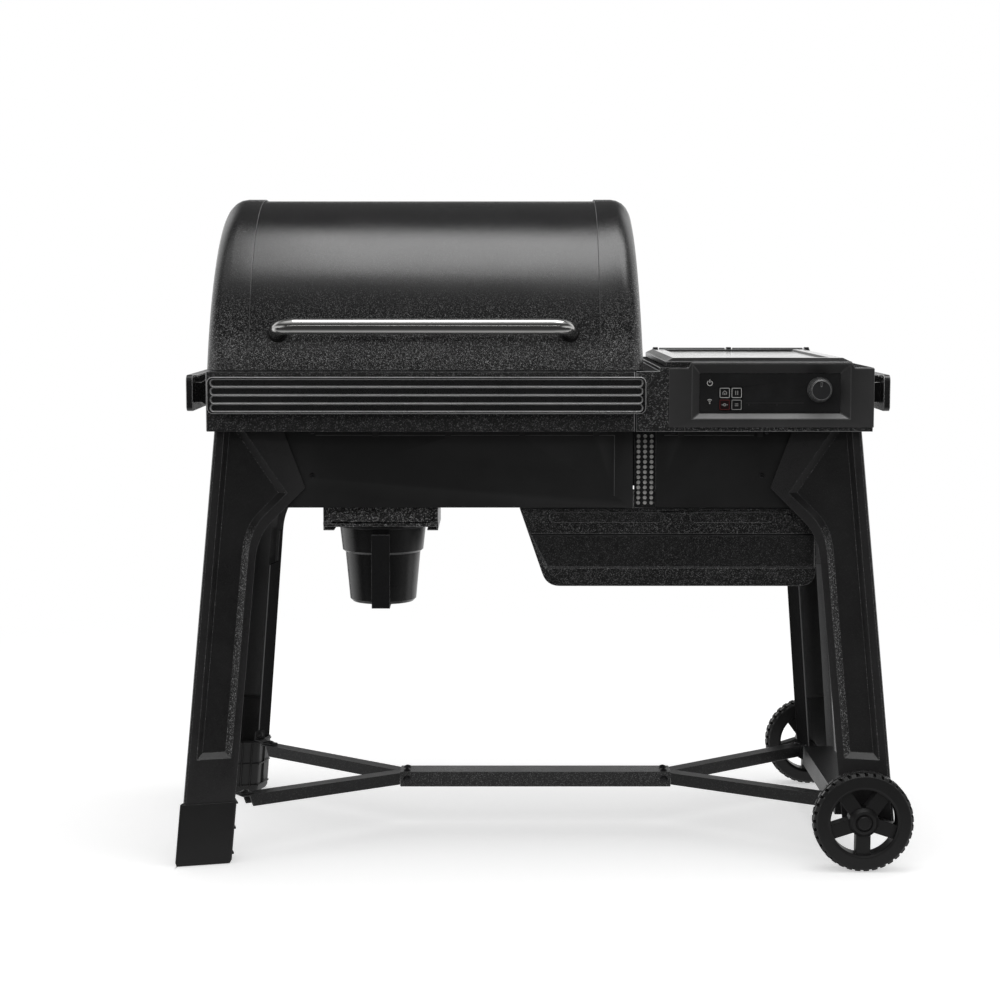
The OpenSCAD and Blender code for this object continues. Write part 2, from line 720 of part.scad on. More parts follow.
function at_panel(pts, y) = [for (p = pts) [p[0], y, p[1]]];
window = rect(window_cx - window_w / 2, window_cx + window_w / 2,
              window_cz - window_h / 2, window_cz + window_h / 2);
window_mouth = rect(window[0][0] - 13, window[1][0] + 15, window[0][1] - 9, window[2][1] + 16);
glass_y0 = panel_y + window_depth;
glass_y1 = glass_y0 + 3.4;

module bezel_outline() {
    polygon([[213, 714], [549, 714], [549, deck_z - 1], [window_mouth[1][0] + 7, deck_z - 1],
             [window_mouth[1][0] + 1, deck_z + 8.5], [window_mouth[0][0] - 1, deck_z + 8.5],
             [window_mouth[0][0] - 7, deck_z - 1], [213, deck_z - 1]]);
}

module control_bezel() {
    color(plastic) difference() {
        union() {
            translate([0, -band_front - 0.2, 0]) rotate([90, 0, 0])
                linear_extrude(-panel_y - band_front - 0.2) bezel_outline();
            loft([at_panel(inset(window, -4), -260), at_panel(inset(window_mouth, -2.4), -band_front - 1)]);
        }
        loft([at_panel(window, glass_y0 - 0.1), at_panel(inset(window_mouth, -0.4), panel_y - 0.4)]);
        block(window[0][0], window[1][0], glass_y0 - 0.5, glass_y1, window[0][1], window[2][1]);
        // openings behind the buttons and the knob
        for (p = button_spots()) block(p[0] - 9.2, p[0] + 9.2, -300, -200, p[1] - 9.2, p[1] + 9.2);
        along_y(knob_x, -300, -200, knob_z, 4.05);
    }
}

function button_spots() = [for (i = [-1, 1], j = [1, -1])
    [button_x + i * button_pitch / 2, button_z + j * button_pitch / 2]];

module display_glass() {
    color(gloss) difference() {
        block(window[0][0] + 0.2, window[1][0] - 0.2, glass_y0, glass_y1,
              window[0][1] + 0.2, window[2][1] - 0.2);
        for (p = button_spots()) translate([p[0], -200, p[1]]) rotate([90, 0, 0])
            linear_extrude(100) round_plate(button_w + 0.8, button_w + 0.8, 2.4);
        along_y(knob_x, -300, -200, knob_z, 5);
    }
}

module button_at(i, j) {
    color(gloss) translate([button_x + i * button_pitch / 2, glass_y0 + 6, button_z + j * button_pitch / 2])
        rotate([90, 0, 0]) linear_extrude(7.4) round_plate(button_w, button_w, 2);
}

module button_upper_left() { button_at(-1, 1); }
module button_upper_right() { button_at(1, 1); }
module button_lower_left() { button_at(-1, -1); }
module button_lower_right() { button_at(1, -1); }

// Dial knob with a skirt, a grooved grip and a pointer cut
module dial_knob() {
    color(plastic) translate([knob_x, glass_y0 - 0.5, knob_z]) rotate([90, 0, 0]) difference() {
        union() {
            rotate_extrude() polygon([[0, 0], [knob_d / 2, 0], [knob_d / 2, 2], [knob_d / 2 - 2, 4],
                [knob_d / 2 - 3, 18], [knob_d / 2 - 5, 20], [0, 20]]);
            translate([0, 0, -13.5]) cylinder(r = 4, h = 15);
        }
        for (i = [0 : 23]) rotate([0, 0, i * 15]) translate([knob_d / 2 - 3.2, -0.8, 5]) cube([3, 1.6, 11]);
        translate([-0.9, 6, 19.2]) cube([1.8, 7, 3]);
    }
}

// Sealed box with the control board, behind the bezel and clear of the buttons
module controller_box() {
    color(plastic) difference() {
        block(240, 520, -band_front + 22, -band_front + 60, 722, 792);
        block(242, 518, -band_front + 24, -band_front + 58, 724, 790);
    }
}

// Underside

// Front outline of the shroud, with round lower corners
function shroud_outline(d) = inset(concat(
    [[-30, skirt_z0 - 2]],
    bend([8, 462], [15, 440], [38, 440], 6),
    bend([441, 440], [470, 440], [470, 469], 6),
    [[470, skirt_z0 - 2]]), d);

module lower_shroud() {
    y0 = -192;
    y1 = 150;
    color(coat) difference() {
        union() {
            translate([0, y1, 0]) rotate([90, 0, 0]) linear_extrude(y1 - y0) polygon(shroud_outline(0));
            // pressed obround pads on the front
            for (x = [[20, 214], [257, 398]])
                translate([(x[0] + x[1]) / 2, y0, 557]) rotate([90, 0, 0])
                    linear_extrude(3) round_plate(x[1] - x[0], 18, 8.9);
            translate([424, y0, 557]) rotate([90, 0, 0]) dome(6, 4);
            // step across the front below the pads
            loft([at_panel([[12, 470], [470, 470], [470, 530], [-14, 530]], y0 + 1),
                  at_panel([[16, 474], [466, 474], [466, 526], [-10, 526]], y0 - 4)]);
        }
        translate([0, y1 - 2, 0]) rotate([90, 0, 0]) linear_extrude(y1 - y0 - 4) polygon(shroud_outline(2));
        // way in for the fire pot, and for the chute
        translate([pot_x, auger_y, 565]) cylinder(r = 64, h = 50);
        block(290, 370, -60, 20, 560, 600);
        // air slots in the back
        for (i = [0 : 9]) block(120 + i * 28, 134 + i * 28, y1 - 10, y1 + 5, 480, 540);
    }
}

module auger_tube() {
    color(steel) difference() {
        union() {
            along_x(pot_x + 58.5, 420, auger_y, auger_z, 26);
            block(294, 366, -56, 16, auger_z, 570);
        }
        along_x(pot_x, 417, auger_y, auger_z, 23);
        block(298, 362, -52, 12, auger_z, 580);
        along_x(400, 440, auger_y, auger_z, 6.05);
        block(295.8, 364.2, -54.2, 14.2, 562.5, 580);
    }
}

// Auger: a shaft with one flight wound round it
module auger_screw() {
    n = 14 * auger_turns;
    color(steel) translate([pot_x + 66, auger_y, auger_z]) rotate([0, 90, 0]) {
        cylinder(r = 6, h = 362 - pot_x);
        loft([for (i = [0 : n])
            let (a = i * 360 * auger_turns / n, z = i * (337 - pot_x) / n, c = cos(a), d = sin(a))
            [[5 * c, 5 * d, z], [5 * c, 5 * d, z + 4], [20 * c, 20 * d, z + 4], [20 * c, 20 * d, z]]]);
    }
}

module auger_motor() {
    color(steel) difference() {
        union() {
            block(421, 466, auger_y - 40, auger_y + 40, auger_z - 36, auger_z + 36);
            block(428, 460, auger_y - 70, auger_y - 40, auger_z - 24, auger_z + 24);
        }
        along_x(415, 430, auger_y, auger_z, 6.3);
    }
}

fan_x = 200;
fan_y = 85;
fan_z = 505;

// A fan housing, open at its eye, with an outlet toward the fire pot
module fan_housing() {
    color(plastic) translate([fan_x, fan_y, fan_z]) rotate([90, 0, 0]) {
        difference() {
            union() {
                translate([0, 0, -22]) cylinder(r = 54, h = 44);
                translate([-80, 20, -18]) cube([82, 32, 36]);
            }
            translate([0, 0, -20]) cylinder(r = 50, h = 40);
            translate([0, 0, 10]) cylinder(r = 26, h = 30);
            translate([-90, 22, -16]) cube([90, 28, 32]);
        }
        translate([0, 0, -20.5]) cylinder(r = 3, h = 33);
        translate([0, 0, -20.5]) cylinder(r = 12, h = 3);
    }
}

module fan_wheel() {
    color(steel) translate([fan_x, fan_y, fan_z]) rotate([90, 0, 0]) difference() {
        union() {
            translate([0, 0, -15]) cylinder(r = 44, h = 2);
            translate([0, 0, -15]) cylinder(r = 10, h = 24);
            for (i = [0 : fan_blades - 1]) rotate([0, 0, i * 360 / fan_blades])
                translate([28, 0, -14]) rotate([0, 0, 35]) cube([17, 2, 28]);
        }
        translate([0, 0, -20]) cylinder(r = 3.05, h = 40);
    }
}

module fire_pot() {
    color(steel) difference() {
        union() {
            translate([pot_x, auger_y, 496]) cylinder(r = 58, h = 150);
            translate([pot_x, auger_y, tub_z0 + 2]) cylinder(r = 72, h = 3);
        }
        translate([pot_x, auger_y, 499]) cylinder(r = 55, h = 160);
        along_x(pot_x + 30, pot_x + 80, auger_y, auger_z, 23);
        for (i = [0 : 11], z = [585, 625]) translate([pot_x, auger_y, z]) rotate([90, 0, 15 + i * 30])
            translate([0, 0, 50]) cylinder(r = 3, h = 12);
        along_y(pot_x, auger_y, auger_y + 80, 515, 5.05);
    }
}

module igniter_rod() {
    color(steel) {
        along_y(pot_x, auger_y + 20, auger_y + 110, 515, 5);
        along_y(pot_x, auger_y + 90, auger_y + 112, 515, 8);
    }
}

// A bent plate that spreads the heat, standing on two folded feet
module heat_baffle() {
    color(steel) {
        block(-330, 130, -150, 150, 664, 666.5);
        for (x = [-330, -25]) block(x, x + 2.5, -100, 100, tub_z0 + 2, 666.5);
    }
}

// The drip tray leans to the drain and has a slot over it
module drip_tray() {
    color(steel) difference() {
        union() {
            translate([-167, 0, 688]) rotate([0, -1.4, 0]) block(-300, 300, -178, 178, -2, 0.5);
            block(-460, -457.5, -100, 100, tub_z0 + 2, 681);
            block(120, 122.5, -120, 120, 666.5, 695.3);
        }
        block(bucket_x - 60, bucket_x + 60, bucket_y - 8, bucket_y + 8, 650, 720);
    }
}

module grate_plan(w, d) {
    difference() {
        round_plate(w, d, 8);
        for (i = [-9.5 : 1 : 9.5], j = [-1, 0, 1])
            translate([i * (w - 14) / 20, j * (d - 12) / 3])
                square([(w - 14) / 20 - 6, (d - 12) / 3 - 7], center = true);
    }
}

module grates() {
    color(steel) for (s = [-1, 1])
        translate([(band_x0 + band_x1) / 2 + s * 174, (band_back - band_front) / 2, 759.5])
            linear_extrude(7) grate_plan(343, 528);
}

module temperature_probe() {
    color(bright) {
        along_x(band_x0 - 2, band_x0 + 60, 60, 745, 4);
        along_x(band_x0 - 6, band_x0, 60, 745, 8);
    }
}

// Bracket with two ledges that the rim of the bucket slides along
module bucket_bracket() {
    color(coat) translate([bucket_x, bucket_y, 0]) {
        difference() {
            union() {
                block(-97, 97, -72, 100, 560, skirt_z0);
                block(-97, 97, -72, -69.5, bucket_z1, 562);
                block(-97, 97, 97.5, 100, bucket_z1 - 5.6, 562);
            }
            translate([0, 0, 540]) cylinder(r = 24, h = 80);
        }
        for (s = [0, 1]) mirror([s, 0, 0]) {
            block(94.5, 97, -72, 100, bucket_z1 - 5.6, 562);
            block(78.5, 97, -72, 100, bucket_z1 - 5.6, bucket_z1 - 3.5);
            for (x = [87, 93]) translate([x, -72, 546]) rotate([90, 0, 0]) dome(2.6, 2.5);
        }
    }
}

// A stepped pail with a rolled rim
module grease_bucket() {
    z0 = bucket_z1 - bucket_h;
    r = bucket_r;
    color(coat) translate([bucket_x, bucket_y, 0]) rotate_extrude() polygon([
        [0, z0], [r - 22, z0], [r - 17, z0 + 5], [r - 9.5, z0 + 86], [r - 4.5, z0 + 90],
        [r, bucket_z1 - 5], [r + 2, bucket_z1 - 3.2], [r + 8, bucket_z1 - 3.2],
        [r + 8, bucket_z1 - 0.7], [r - 2, bucket_z1 - 0.7],
        [r - 6.5, z0 + 91], [r - 11.5, z0 + 87], [r - 19, z0 + 6], [r - 23, z0 + 2], [0, z0 + 2]]);
}

// Flat strap in front of the bucket, turned in under its rim and under its base
module bucket_strap() {
    z0 = bucket_z1 - bucket_h;
    y = -bucket_r - 8;
    color(coat) translate([bucket_x, bucket_y, 0]) {
        block(-15.5, 15.5, y, y + 3, z0 - 3, bucket_z1 - 12);
        block(-15.5, 15.5, y, -bucket_r + 4, bucket_z1 - 15, bucket_z1 - 12);
        block(-15.5, 15.5, y, -20, z0 - 3, z0);
    }
}

// Lid

// The side profile of the lid, from its front edge over the top to its back edge
function lid_ring(off, zb) =
    let (a0 = 180 - asin((zb - lid_cz) / (lid_r + off)))
    concat(
        [for (i = [0 : 26]) let (a = a0 + (lid_blend - a0) * i / 26)
            [lid_cy + (lid_r + off) * cos(a), lid_cz + (lid_r + off) * sin(a)]],
        [for (i = [1 : 7]) let (a = lid_blend * (1 - i / 7))
            [rear_cy + (lid_rear_r + off) * cos(a), rear_cz + (lid_rear_r + off) * sin(a)]],
        [[lid_back + off, zb]]);

module lid_sheet() {
    l = lid_l - 2 * lid_seam + 16;
    color(coat) translate([lid_cx - l / 2, 0, 0]) rotate([90, 0, 90]) difference() {
        linear_extrude(l) polygon(lid_ring(0, lid_z0));
        translate([0, 0, -1]) linear_extrude(l + 2) polygon(lid_ring(-sheet, lid_z0 - 8));
    }
}

// Rings of a drawn end: the end face, the rounding and the straight run to the seam
function end_ring(th, off, x, zb) =
    [for (p = lid_ring(off - lid_end_r * (1 - cos(th)), zb))
        [x - (p[1] - lid_z0) * tan(lid_draft) - lid_end_r * (1 - sin(th)), p[0], p[1]]];

module lid_end() {
    x = lid_l / 2;
    difference() {
        loft(concat(
            [for (th = [90, 72, 54, 36, 18, 0]) end_ring(th, sheet + 0.3, x, lid_z0)],
            [[for (p = lid_ring(sheet + 0.3, lid_z0)) [x - lid_seam, p[0], p[1]]]]));
        loft(concat(
            [for (th = [90, 72, 54, 36, 18, 0]) end_ring(th, 0.3, x - sheet, lid_z0 - 8)],
            [[for (p = lid_ring(0.3, lid_z0 - 8)) [x - lid_seam - 4, p[0], p[1]]]]));
    }
}

module lid_end_right() { color(coat) translate([lid_cx, 0, 0]) lid_end(); }
module lid_end_left() { color(coat) translate([lid_cx, 0, 0]) mirror([1, 0, 0]) lid_end(); }

// Bar handle: a tube bent back at both ends onto two round bases
module lid_handle() {
    r = handle_d / 2;
    bend_r = 32;
    half = handle_l / 2 - r;
    base = [lid_cy - lid_r * cos(handle_rise), lid_cz + lid_r * sin(handle_rise)];
    translate([lid_cx - 1.5, base[0], base[1]]) rotate([90 - handle_rise, 0, 0]) {
        color(bright) {
            translate([-half + bend_r, 0, handle_out]) rotate([0, 90, 0])
                cylinder(r = r, h = 2 * (half - bend_r));
            for (s = [0, 1]) mirror([s, 0, 0]) {
                translate([half - bend_r, 0, handle_out - bend_r]) rotate([90, 0, 0])
                    rotate_extrude(angle = 90) translate([bend_r, 0]) circle(r);
                translate([half, 0, 3]) cylinder(r = r, h = handle_out - bend_r - 3);
            }
        }
        color(plastic) for (s = [-1, 1]) translate([s * half, 0, 0.3])
            rotate_extrude() polygon([[0, 0], [15, 0], [15, 3], [13.5, 6], [0, 6]]);
    }
}

// Hinge leaves: a flap on the back of the lid with a barrel round the pin
module lid_hinge_leaves() {
    color(paint) for (x = hinge_xs) difference() {
        union() {
            block(x - 18, x + 18, lid_back + 0.1, lid_back + 3, hinge_z - 4, 880);
            block(x - 18, x + 18, lid_back + 0.1, hinge_y, hinge_z - 3, hinge_z + 3);
            along_x(x - 18, x + 18, hinge_y, hinge_z, 9);
        }
        along_x(x - 30, x + 30, hinge_y, hinge_z, 4.05);
    }
}

// Hinge brackets on the back wall of the barrel, with the pins
module lid_hinge_brackets() {
    color(paint) for (x = hinge_xs) {
        block(x - 34, x + 34, band_back, band_back + 3, 735, 795);
        for (s = [-1, 1]) {
            block(x + s * 23 - 4, x + s * 23 + 4, band_back, hinge_y + 5, 770, hinge_z - 8);
            along_x(x + s * 23 - 4, x + s * 23 + 4, hinge_y, hinge_z, 9);
            block(x + s * 23 - 4, x + s * 23 + 4, hinge_y - 8, hinge_y + 5, 790, hinge_z);
        }
        along_x(x - 20, x + 20, hinge_y, hinge_z, 4);
    }
}

// Hood over the vent slots in the back wall, open along its lower edge
module exhaust_hood() {
    color(coat) translate([-380, 0, 0]) rotate([90, 0, 90]) difference() {
        linear_extrude(400) polygon([[band_back, 792], [band_back + 18, 784], [band_back + 24, 770],
            [band_back + 24, 742], [band_back, 742]]);
        translate([0, 0, 2]) linear_extrude(396) polygon([[band_back - 2, 789], [band_back + 16, 782],
            [band_back + 21.5, 769], [band_back + 21.5, 730], [band_back - 2, 730]]);
    }
}

// Appliance inlet in the back of the hopper housing: a shroud round three short pins
module power_inlet() {
    color(plastic) {
        difference() {
            union() {
                block(294, 338, band_back, band_back + 3, 728, 762);
                block(300.3, 331.7, band_back - 24, band_back + 1, 733.3, 756.7);
            }
            block(303, 329, band_back - 18, band_back + 5, 736, 754);
        }
        for (p = [[316, 750], [309, 742], [323, 742]])
            block(p[0] - 1, p[0] + 1, band_back - 19, band_back - 9, p[1] - 2.5, p[1] + 2.5);
    }
}

// Moves a piece from the middle plane of the cart to the frame of the whole grill
module place() { translate([mid_x, 0, 0]) children(); }

// The body sits on the legs, higher by what was added to them
module raised() { translate([mid_x, 0, leg_extra]) children(); }

place() leg_front_left();
place() leg_rear_left();
place() leg_front_right();
place() leg_rear_right();
place() foot_front_left();
place() foot_rear_left();
place() brace_bar();
place() arm_front_left();
place() arm_rear_left();
place() arm_front_right();
place() arm_rear_right();
place() brace_bolts();
place() axle_channel();
place() axle();
place() wheel_front();
place() wheel_rear();
raised() barrel_band();
raised() barrel_tub();
raised() barrel_skirt();
raised() front_rail();
raised() left_rail();
raised() right_rail();
raised() rail_standoffs();
raised() heat_screens();
raised() hopper_housing();
raised() hopper_bin();
raised() hopper_skirt();
raised() hopper_lid();
raised() hopper_hinge_pin();
raised() control_bezel();
raised() display_glass();
raised() controller_box();
raised() button_upper_left();
raised() button_upper_right();
raised() button_lower_left();
raised() button_lower_right();
raised() dial_knob();
raised() lower_shroud();
raised() auger_tube();
raised() auger_screw();
raised() auger_motor();
raised() fan_housing();
raised() fan_wheel();
raised() fire_pot();
raised() igniter_rod();
raised() heat_baffle();
raised() drip_tray();
raised() grates();
raised() temperature_probe();
raised() bucket_bracket();
raised() grease_bucket();
raised() bucket_strap();
raised() lid_sheet();
raised() lid_end_left();
raised() lid_end_right();
raised() lid_handle();
raised() lid_hinge_leaves();
raised() lid_hinge_brackets();
raised() exhaust_hood();
raised() power_inlet();
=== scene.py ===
"""Looks of the pellet smoker grill: materials, small fittings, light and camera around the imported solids.

Every length is in metres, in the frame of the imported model: X to the right, Y to the back, Z up.
"""

import math

import bmesh
import bpy
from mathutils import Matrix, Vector


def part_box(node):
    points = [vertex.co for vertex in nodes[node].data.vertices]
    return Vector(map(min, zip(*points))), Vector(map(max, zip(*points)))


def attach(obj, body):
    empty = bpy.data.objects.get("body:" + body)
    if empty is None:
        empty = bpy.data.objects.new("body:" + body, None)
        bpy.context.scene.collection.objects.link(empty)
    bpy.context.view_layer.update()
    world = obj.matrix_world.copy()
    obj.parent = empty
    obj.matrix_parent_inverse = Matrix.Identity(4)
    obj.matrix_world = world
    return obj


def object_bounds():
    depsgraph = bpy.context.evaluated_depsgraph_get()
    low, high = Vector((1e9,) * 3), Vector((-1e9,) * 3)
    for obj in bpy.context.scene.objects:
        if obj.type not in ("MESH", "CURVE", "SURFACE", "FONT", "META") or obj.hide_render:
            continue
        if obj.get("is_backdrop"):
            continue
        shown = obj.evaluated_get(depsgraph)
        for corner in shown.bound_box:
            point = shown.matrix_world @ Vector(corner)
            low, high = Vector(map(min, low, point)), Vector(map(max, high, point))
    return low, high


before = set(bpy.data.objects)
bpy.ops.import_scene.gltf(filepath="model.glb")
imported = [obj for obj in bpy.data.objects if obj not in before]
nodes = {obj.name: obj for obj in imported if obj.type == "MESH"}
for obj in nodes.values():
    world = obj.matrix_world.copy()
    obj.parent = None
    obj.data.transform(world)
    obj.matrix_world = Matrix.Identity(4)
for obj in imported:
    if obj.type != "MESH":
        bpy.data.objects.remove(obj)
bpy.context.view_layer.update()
scene = bpy.context.scene


def middle_x(name):
    """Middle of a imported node's box from left to right."""
    low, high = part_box(name)
    return (low.x + high.x) / 2


# The legs and the brace of the cart are mirrored about this plane.
MID_X = middle_x("brace_bar")


# Node helpers

class Nodes:
    """A node tree with short calls for making the nodes in it."""

    def __init__(self, tree):
        self.tree = tree

    def node(self, kind, inputs=(), **settings):
        """Makes a node, whose inputs are values or the outputs of other nodes."""
        made = self.tree.nodes.new("ShaderNode" + kind)
        for key, value in settings.items():
            setattr(made, key, value)
        for key, value in dict(inputs).items():
            if isinstance(value, bpy.types.NodeSocket):
                self.tree.links.new(value, made.inputs[key])
            else:
                made.inputs[key].default_value = value
        return made

    def spread(self, value, low, high, to_low, to_high, ease="LINEAR"):
        """Maps a value from one range to another, and holds it at the ends."""
        inputs = {"Value": value, "From Min": low, "From Max": high, "To Min": to_low, "To Max": to_high}
        return self.node("MapRange", inputs, interpolation_type=ease).outputs["Result"]

    def calc(self, a, operation, b):
        """One step of arithmetic on values or outputs."""
        return self.node("Math", {0: a, 1: b}, operation=operation).outputs["Value"]


class Paint(Nodes):
    """A material with a principled shader and short calls for the patterns that feed it."""

    def __init__(self, name, roughness=0.5, metallic=0.0, specular=0.5, anisotropy=0.0):
        self.material = bpy.data.materials.new(name)
        self.material.use_nodes = True
        super().__init__(self.material.node_tree)
        self.shader = self.tree.nodes["Principled BSDF"]
        levels = {"Roughness": roughness, "Metallic": metallic, "Specular IOR Level": specular,
                  "Anisotropic": anisotropy}
        for socket, value in levels.items():
            self.shader.inputs[socket].default_value = value
        self.place = self.node("TexCoord").outputs["Object"]

    def stretched(self, scale):
        """Object coordinates stretched by a different scale along each axis."""
        return self.node("Mapping", {"Vector": self.place, "Scale": scale}).outputs["Vector"]

    def noise(self, scale, detail=2.0, rough=0.55, vector=None):
        """Soft noise from 0 to 1, with about this many waves in a metre."""
        inputs = {"Vector": vector or self.place, "Scale": scale, "Detail": detail, "Roughness": rough}
        return self.node("TexNoise", inputs).outputs["Fac"]

    def cells(self, scale):
        """Distance from the middle of each cell, and a number by chance for each cell."""
        made = self.node("TexVoronoi", {"Vector": self.place, "Scale": scale}).outputs
        return made["Distance"], self.node("SeparateColor", {"Color": made["Color"]}).outputs["Red"]

    def blend(self, factor, a, b):
        """Mixes two colours, each a plain one or a node's output."""
        made = self.node("Mix", {"Factor": factor}, data_type="RGBA")
        for key, value in (("A", a), ("B", b)):
            socket = next(s for s in made.inputs if s.name == key and s.type == "RGBA")
            if isinstance(value, bpy.types.NodeSocket):
                self.tree.links.new(value, socket)
            else:
                socket.default_value = (*value, 1.0)
        return next(s for s in made.outputs if s.type == "RGBA")

    def facing(self, axis):
        """How far the smooth surface faces along one axis of its object, from -1 to 1."""
        normal = self.node("TexCoord").outputs["Normal"]
        return self.node("SeparateXYZ", {"Vector": normal}).outputs[axis]

    def worn_and_highlit_edges(self, share):
        """The given share on sharp outer edges and 0 on flat faces, for paling edges partly as wear and
        partly as a painted highlight.
        """
        point = self.node("NewGeometry").outputs["Pointiness"]
        return self.calc(self.spread(point, 0.505, 0.56, 0.0, 1.0), "MULTIPLY", share)

    def feed(self, socket, value):
        """Links a node's output to the shader."""
        self.tree.links.new(value, self.shader.inputs[socket])

    def bumps(self, *layers):
        """Stacks (height, strength, distance) layers into the shader's normal."""
        normal = None
        for height, strength, distance in layers:
            inputs = {"Height": height, "Strength": strength, "Distance": distance}
            if normal is not None:
                inputs["Normal"] = normal
            normal = self.node("Bump", inputs).outputs["Normal"]
        self.feed("Normal", normal)


# Kinds of material

BLACK, WHITE = (0.0, 0.0, 0.0), (1.0, 1.0, 1.0)
SOOT = (0.03, 0.026, 0.022)


def shade(rgb, factor):
    """A colour made darker or paler."""
    return tuple(min(1.0, c * factor) for c in rgb)


def coated(name, rgb, roughness, grain, depth, specular=0.5, dust=0.3, edge=1.5, glint=0.0):
    """Powder coat: pebbles with painted glints on upright faces, faint dust, and edges paled by wear and
    painted highlight.
    """
    paint = Paint(name, specular=specular)
    pebble, chance = paint.cells(grain)
    fine = paint.noise(grain * 2.6)
    cloud = paint.noise(7.0, detail=4.0, rough=0.6)
    tone = paint.blend(paint.spread(cloud, 0.35, 0.7, 0.0, 1.0), shade(rgb, 0.85), shade(rgb, 1.0 + dust))
    # Painted glints: white dots of the pebbles mixed into the colour, strong on upright faces, faint on
    # those that look up
    upright = paint.spread(paint.facing("Z"), 0.02, 0.5, glint, 0.06 * glint)
    spark = paint.calc(paint.calc(chance, "POWER", 7.0), "MULTIPLY", upright)
    tone = paint.blend(spark, tone, WHITE)
    # Edges paled partly as wear and partly as a painted highlight
    paint.feed("Base Color", paint.blend(paint.worn_and_highlit_edges(0.6), tone, shade(rgb, 1.0 + edge)))
    uneven = paint.calc(fine, "ADD", cloud)
    paint.feed("Roughness", paint.spread(uneven, 0.7, 1.3, roughness - 0.05, roughness + 0.06))
    paint.bumps((pebble, 1.0, depth), (fine, 1.0, depth * 0.2))
    return paint.material


def moulded(name, rgb, roughness, specular=0.45, grain=900.0, dust=0.35):
    """Moulded plastic: very fine spark grain, slow flow marks, pale scuffs, edges paled by wear and painted
    highlight.
    """
    paint = Paint(name, specular=specular)
    fine = paint.noise(grain)
    flow = paint.noise(11.0, detail=5.0, rough=0.65)
    scuff = paint.noise(1.0, detail=6.0, rough=0.7, vector=paint.stretched((60.0, 60.0, 260.0)))
    tone = paint.blend(paint.spread(flow, 0.3, 0.7, 0.0, 1.0), shade(rgb, 0.85), shade(rgb, 1.0 + dust))
    tone = paint.blend(paint.spread(scuff, 0.68, 0.8, 0.0, 0.35), tone, shade(rgb, 1.8))
    # Edges paled partly as wear and partly as a painted highlight
    paint.feed("Base Color", paint.blend(paint.worn_and_highlit_edges(0.5), tone, shade(rgb, 2.2)))
    uneven = paint.calc(flow, "ADD", fine)
    paint.feed("Roughness", paint.spread(uneven, 0.7, 1.3, roughness - 0.07, roughness + 0.09))
    paint.bumps((fine, 0.25, 0.0002), (flow, 0.05, 0.001))
    return paint.material


def brushed(name, rgb, roughness, scale, strength=0.12, anisotropy=0.55):
    """Bare metal with fine lines along one axis and a few smears."""
    paint = Paint(name, metallic=1.0, anisotropy=anisotropy)
    lines = paint.noise(1.0, detail=3.0, rough=0.6, vector=paint.stretched(scale))
    smear = paint.noise(14.0, detail=4.0, rough=0.6)
    tone = paint.blend(lines, shade(rgb, 0.86), shade(rgb, 1.08))
    paint.feed("Base Color", paint.blend(paint.spread(smear, 0.5, 0.8, 0.0, 0.4), tone, shade(rgb, 0.8)))
    uneven = paint.calc(lines, "ADD", smear)
    paint.feed("Roughness", paint.spread(uneven, 0.6, 1.4, roughness - 0.05, roughness + 0.1))
    paint.bumps((lines, strength, 0.0001))
    return paint.material


def sheet_steel(name, rgb, roughness, soot=0.0):
    """Plain coated steel with a crystalline spangle, dulled by soot where it has seen fire."""
    paint = Paint(name, metallic=1.0)
    spangle = paint.cells(120.0)[1]
    cloud = paint.noise(9.0, detail=5.0, rough=0.65)
    fine = paint.noise(600.0)
    tone = paint.blend(spangle, shade(rgb, 0.88), shade(rgb, 1.06))
    paint.feed("Base Color", paint.blend(paint.spread(cloud, 0.35, 0.7, 0.1 * soot, soot), tone, SOOT))
    uneven = paint.calc(spangle, "ADD", cloud)
    paint.feed("Roughness", paint.spread(uneven, 0.4, 1.5, roughness - 0.06, roughness + 0.14))
    paint.bumps((fine, 0.1, 0.0001))
    return paint.material


def glossy(name, rgb, roughness, smudge=0.1):
    """Smooth glass or clear-coated plastic with finger smudges in its gloss."""
    paint = Paint(name)
    smear = paint.noise(28.0, detail=5.0, rough=0.6)
    speck = paint.noise(1400.0)
    paint.feed("Base Color", paint.blend(paint.spread(smear, 0.4, 0.75, 0.0, 1.0), rgb, shade(rgb, 1.35)))
    paint.feed("Roughness", paint.spread(smear, 0.4, 0.75, roughness, roughness + smudge))
    paint.bumps((speck, 0.02, 0.0001))
    return paint.material


def ink(name, rgb, roughness=0.5):
    """Printed ink: a little uneven in tone, with a fine screen grain."""
    paint = Paint(name, specular=0.3)
    grain = paint.noise(2600.0)
    cover = paint.noise(160.0, detail=3.0)
    paint.feed("Base Color", paint.blend(paint.spread(cover, 0.4, 0.7, 0.0, 1.0), shade(rgb, 0.85), rgb))
    paint.feed("Roughness", paint.spread(grain, 0.3, 0.7, roughness - 0.08, roughness + 0.08))
    paint.bumps((grain, 0.1, 0.00005))
    return paint.material


# Coats, by colour, roughness, pebbles in a metre and their depth
LID_COAT = coated("lid_coat", (0.0045, 0.0045, 0.0047), 0.22, 1050.0, 0.00007, specular=0.75, glint=1.0)
COAT = coated("textured_coat", (0.006, 0.006, 0.0062), 0.3, 1000.0, 0.00009, specular=0.6, glint=0.3)
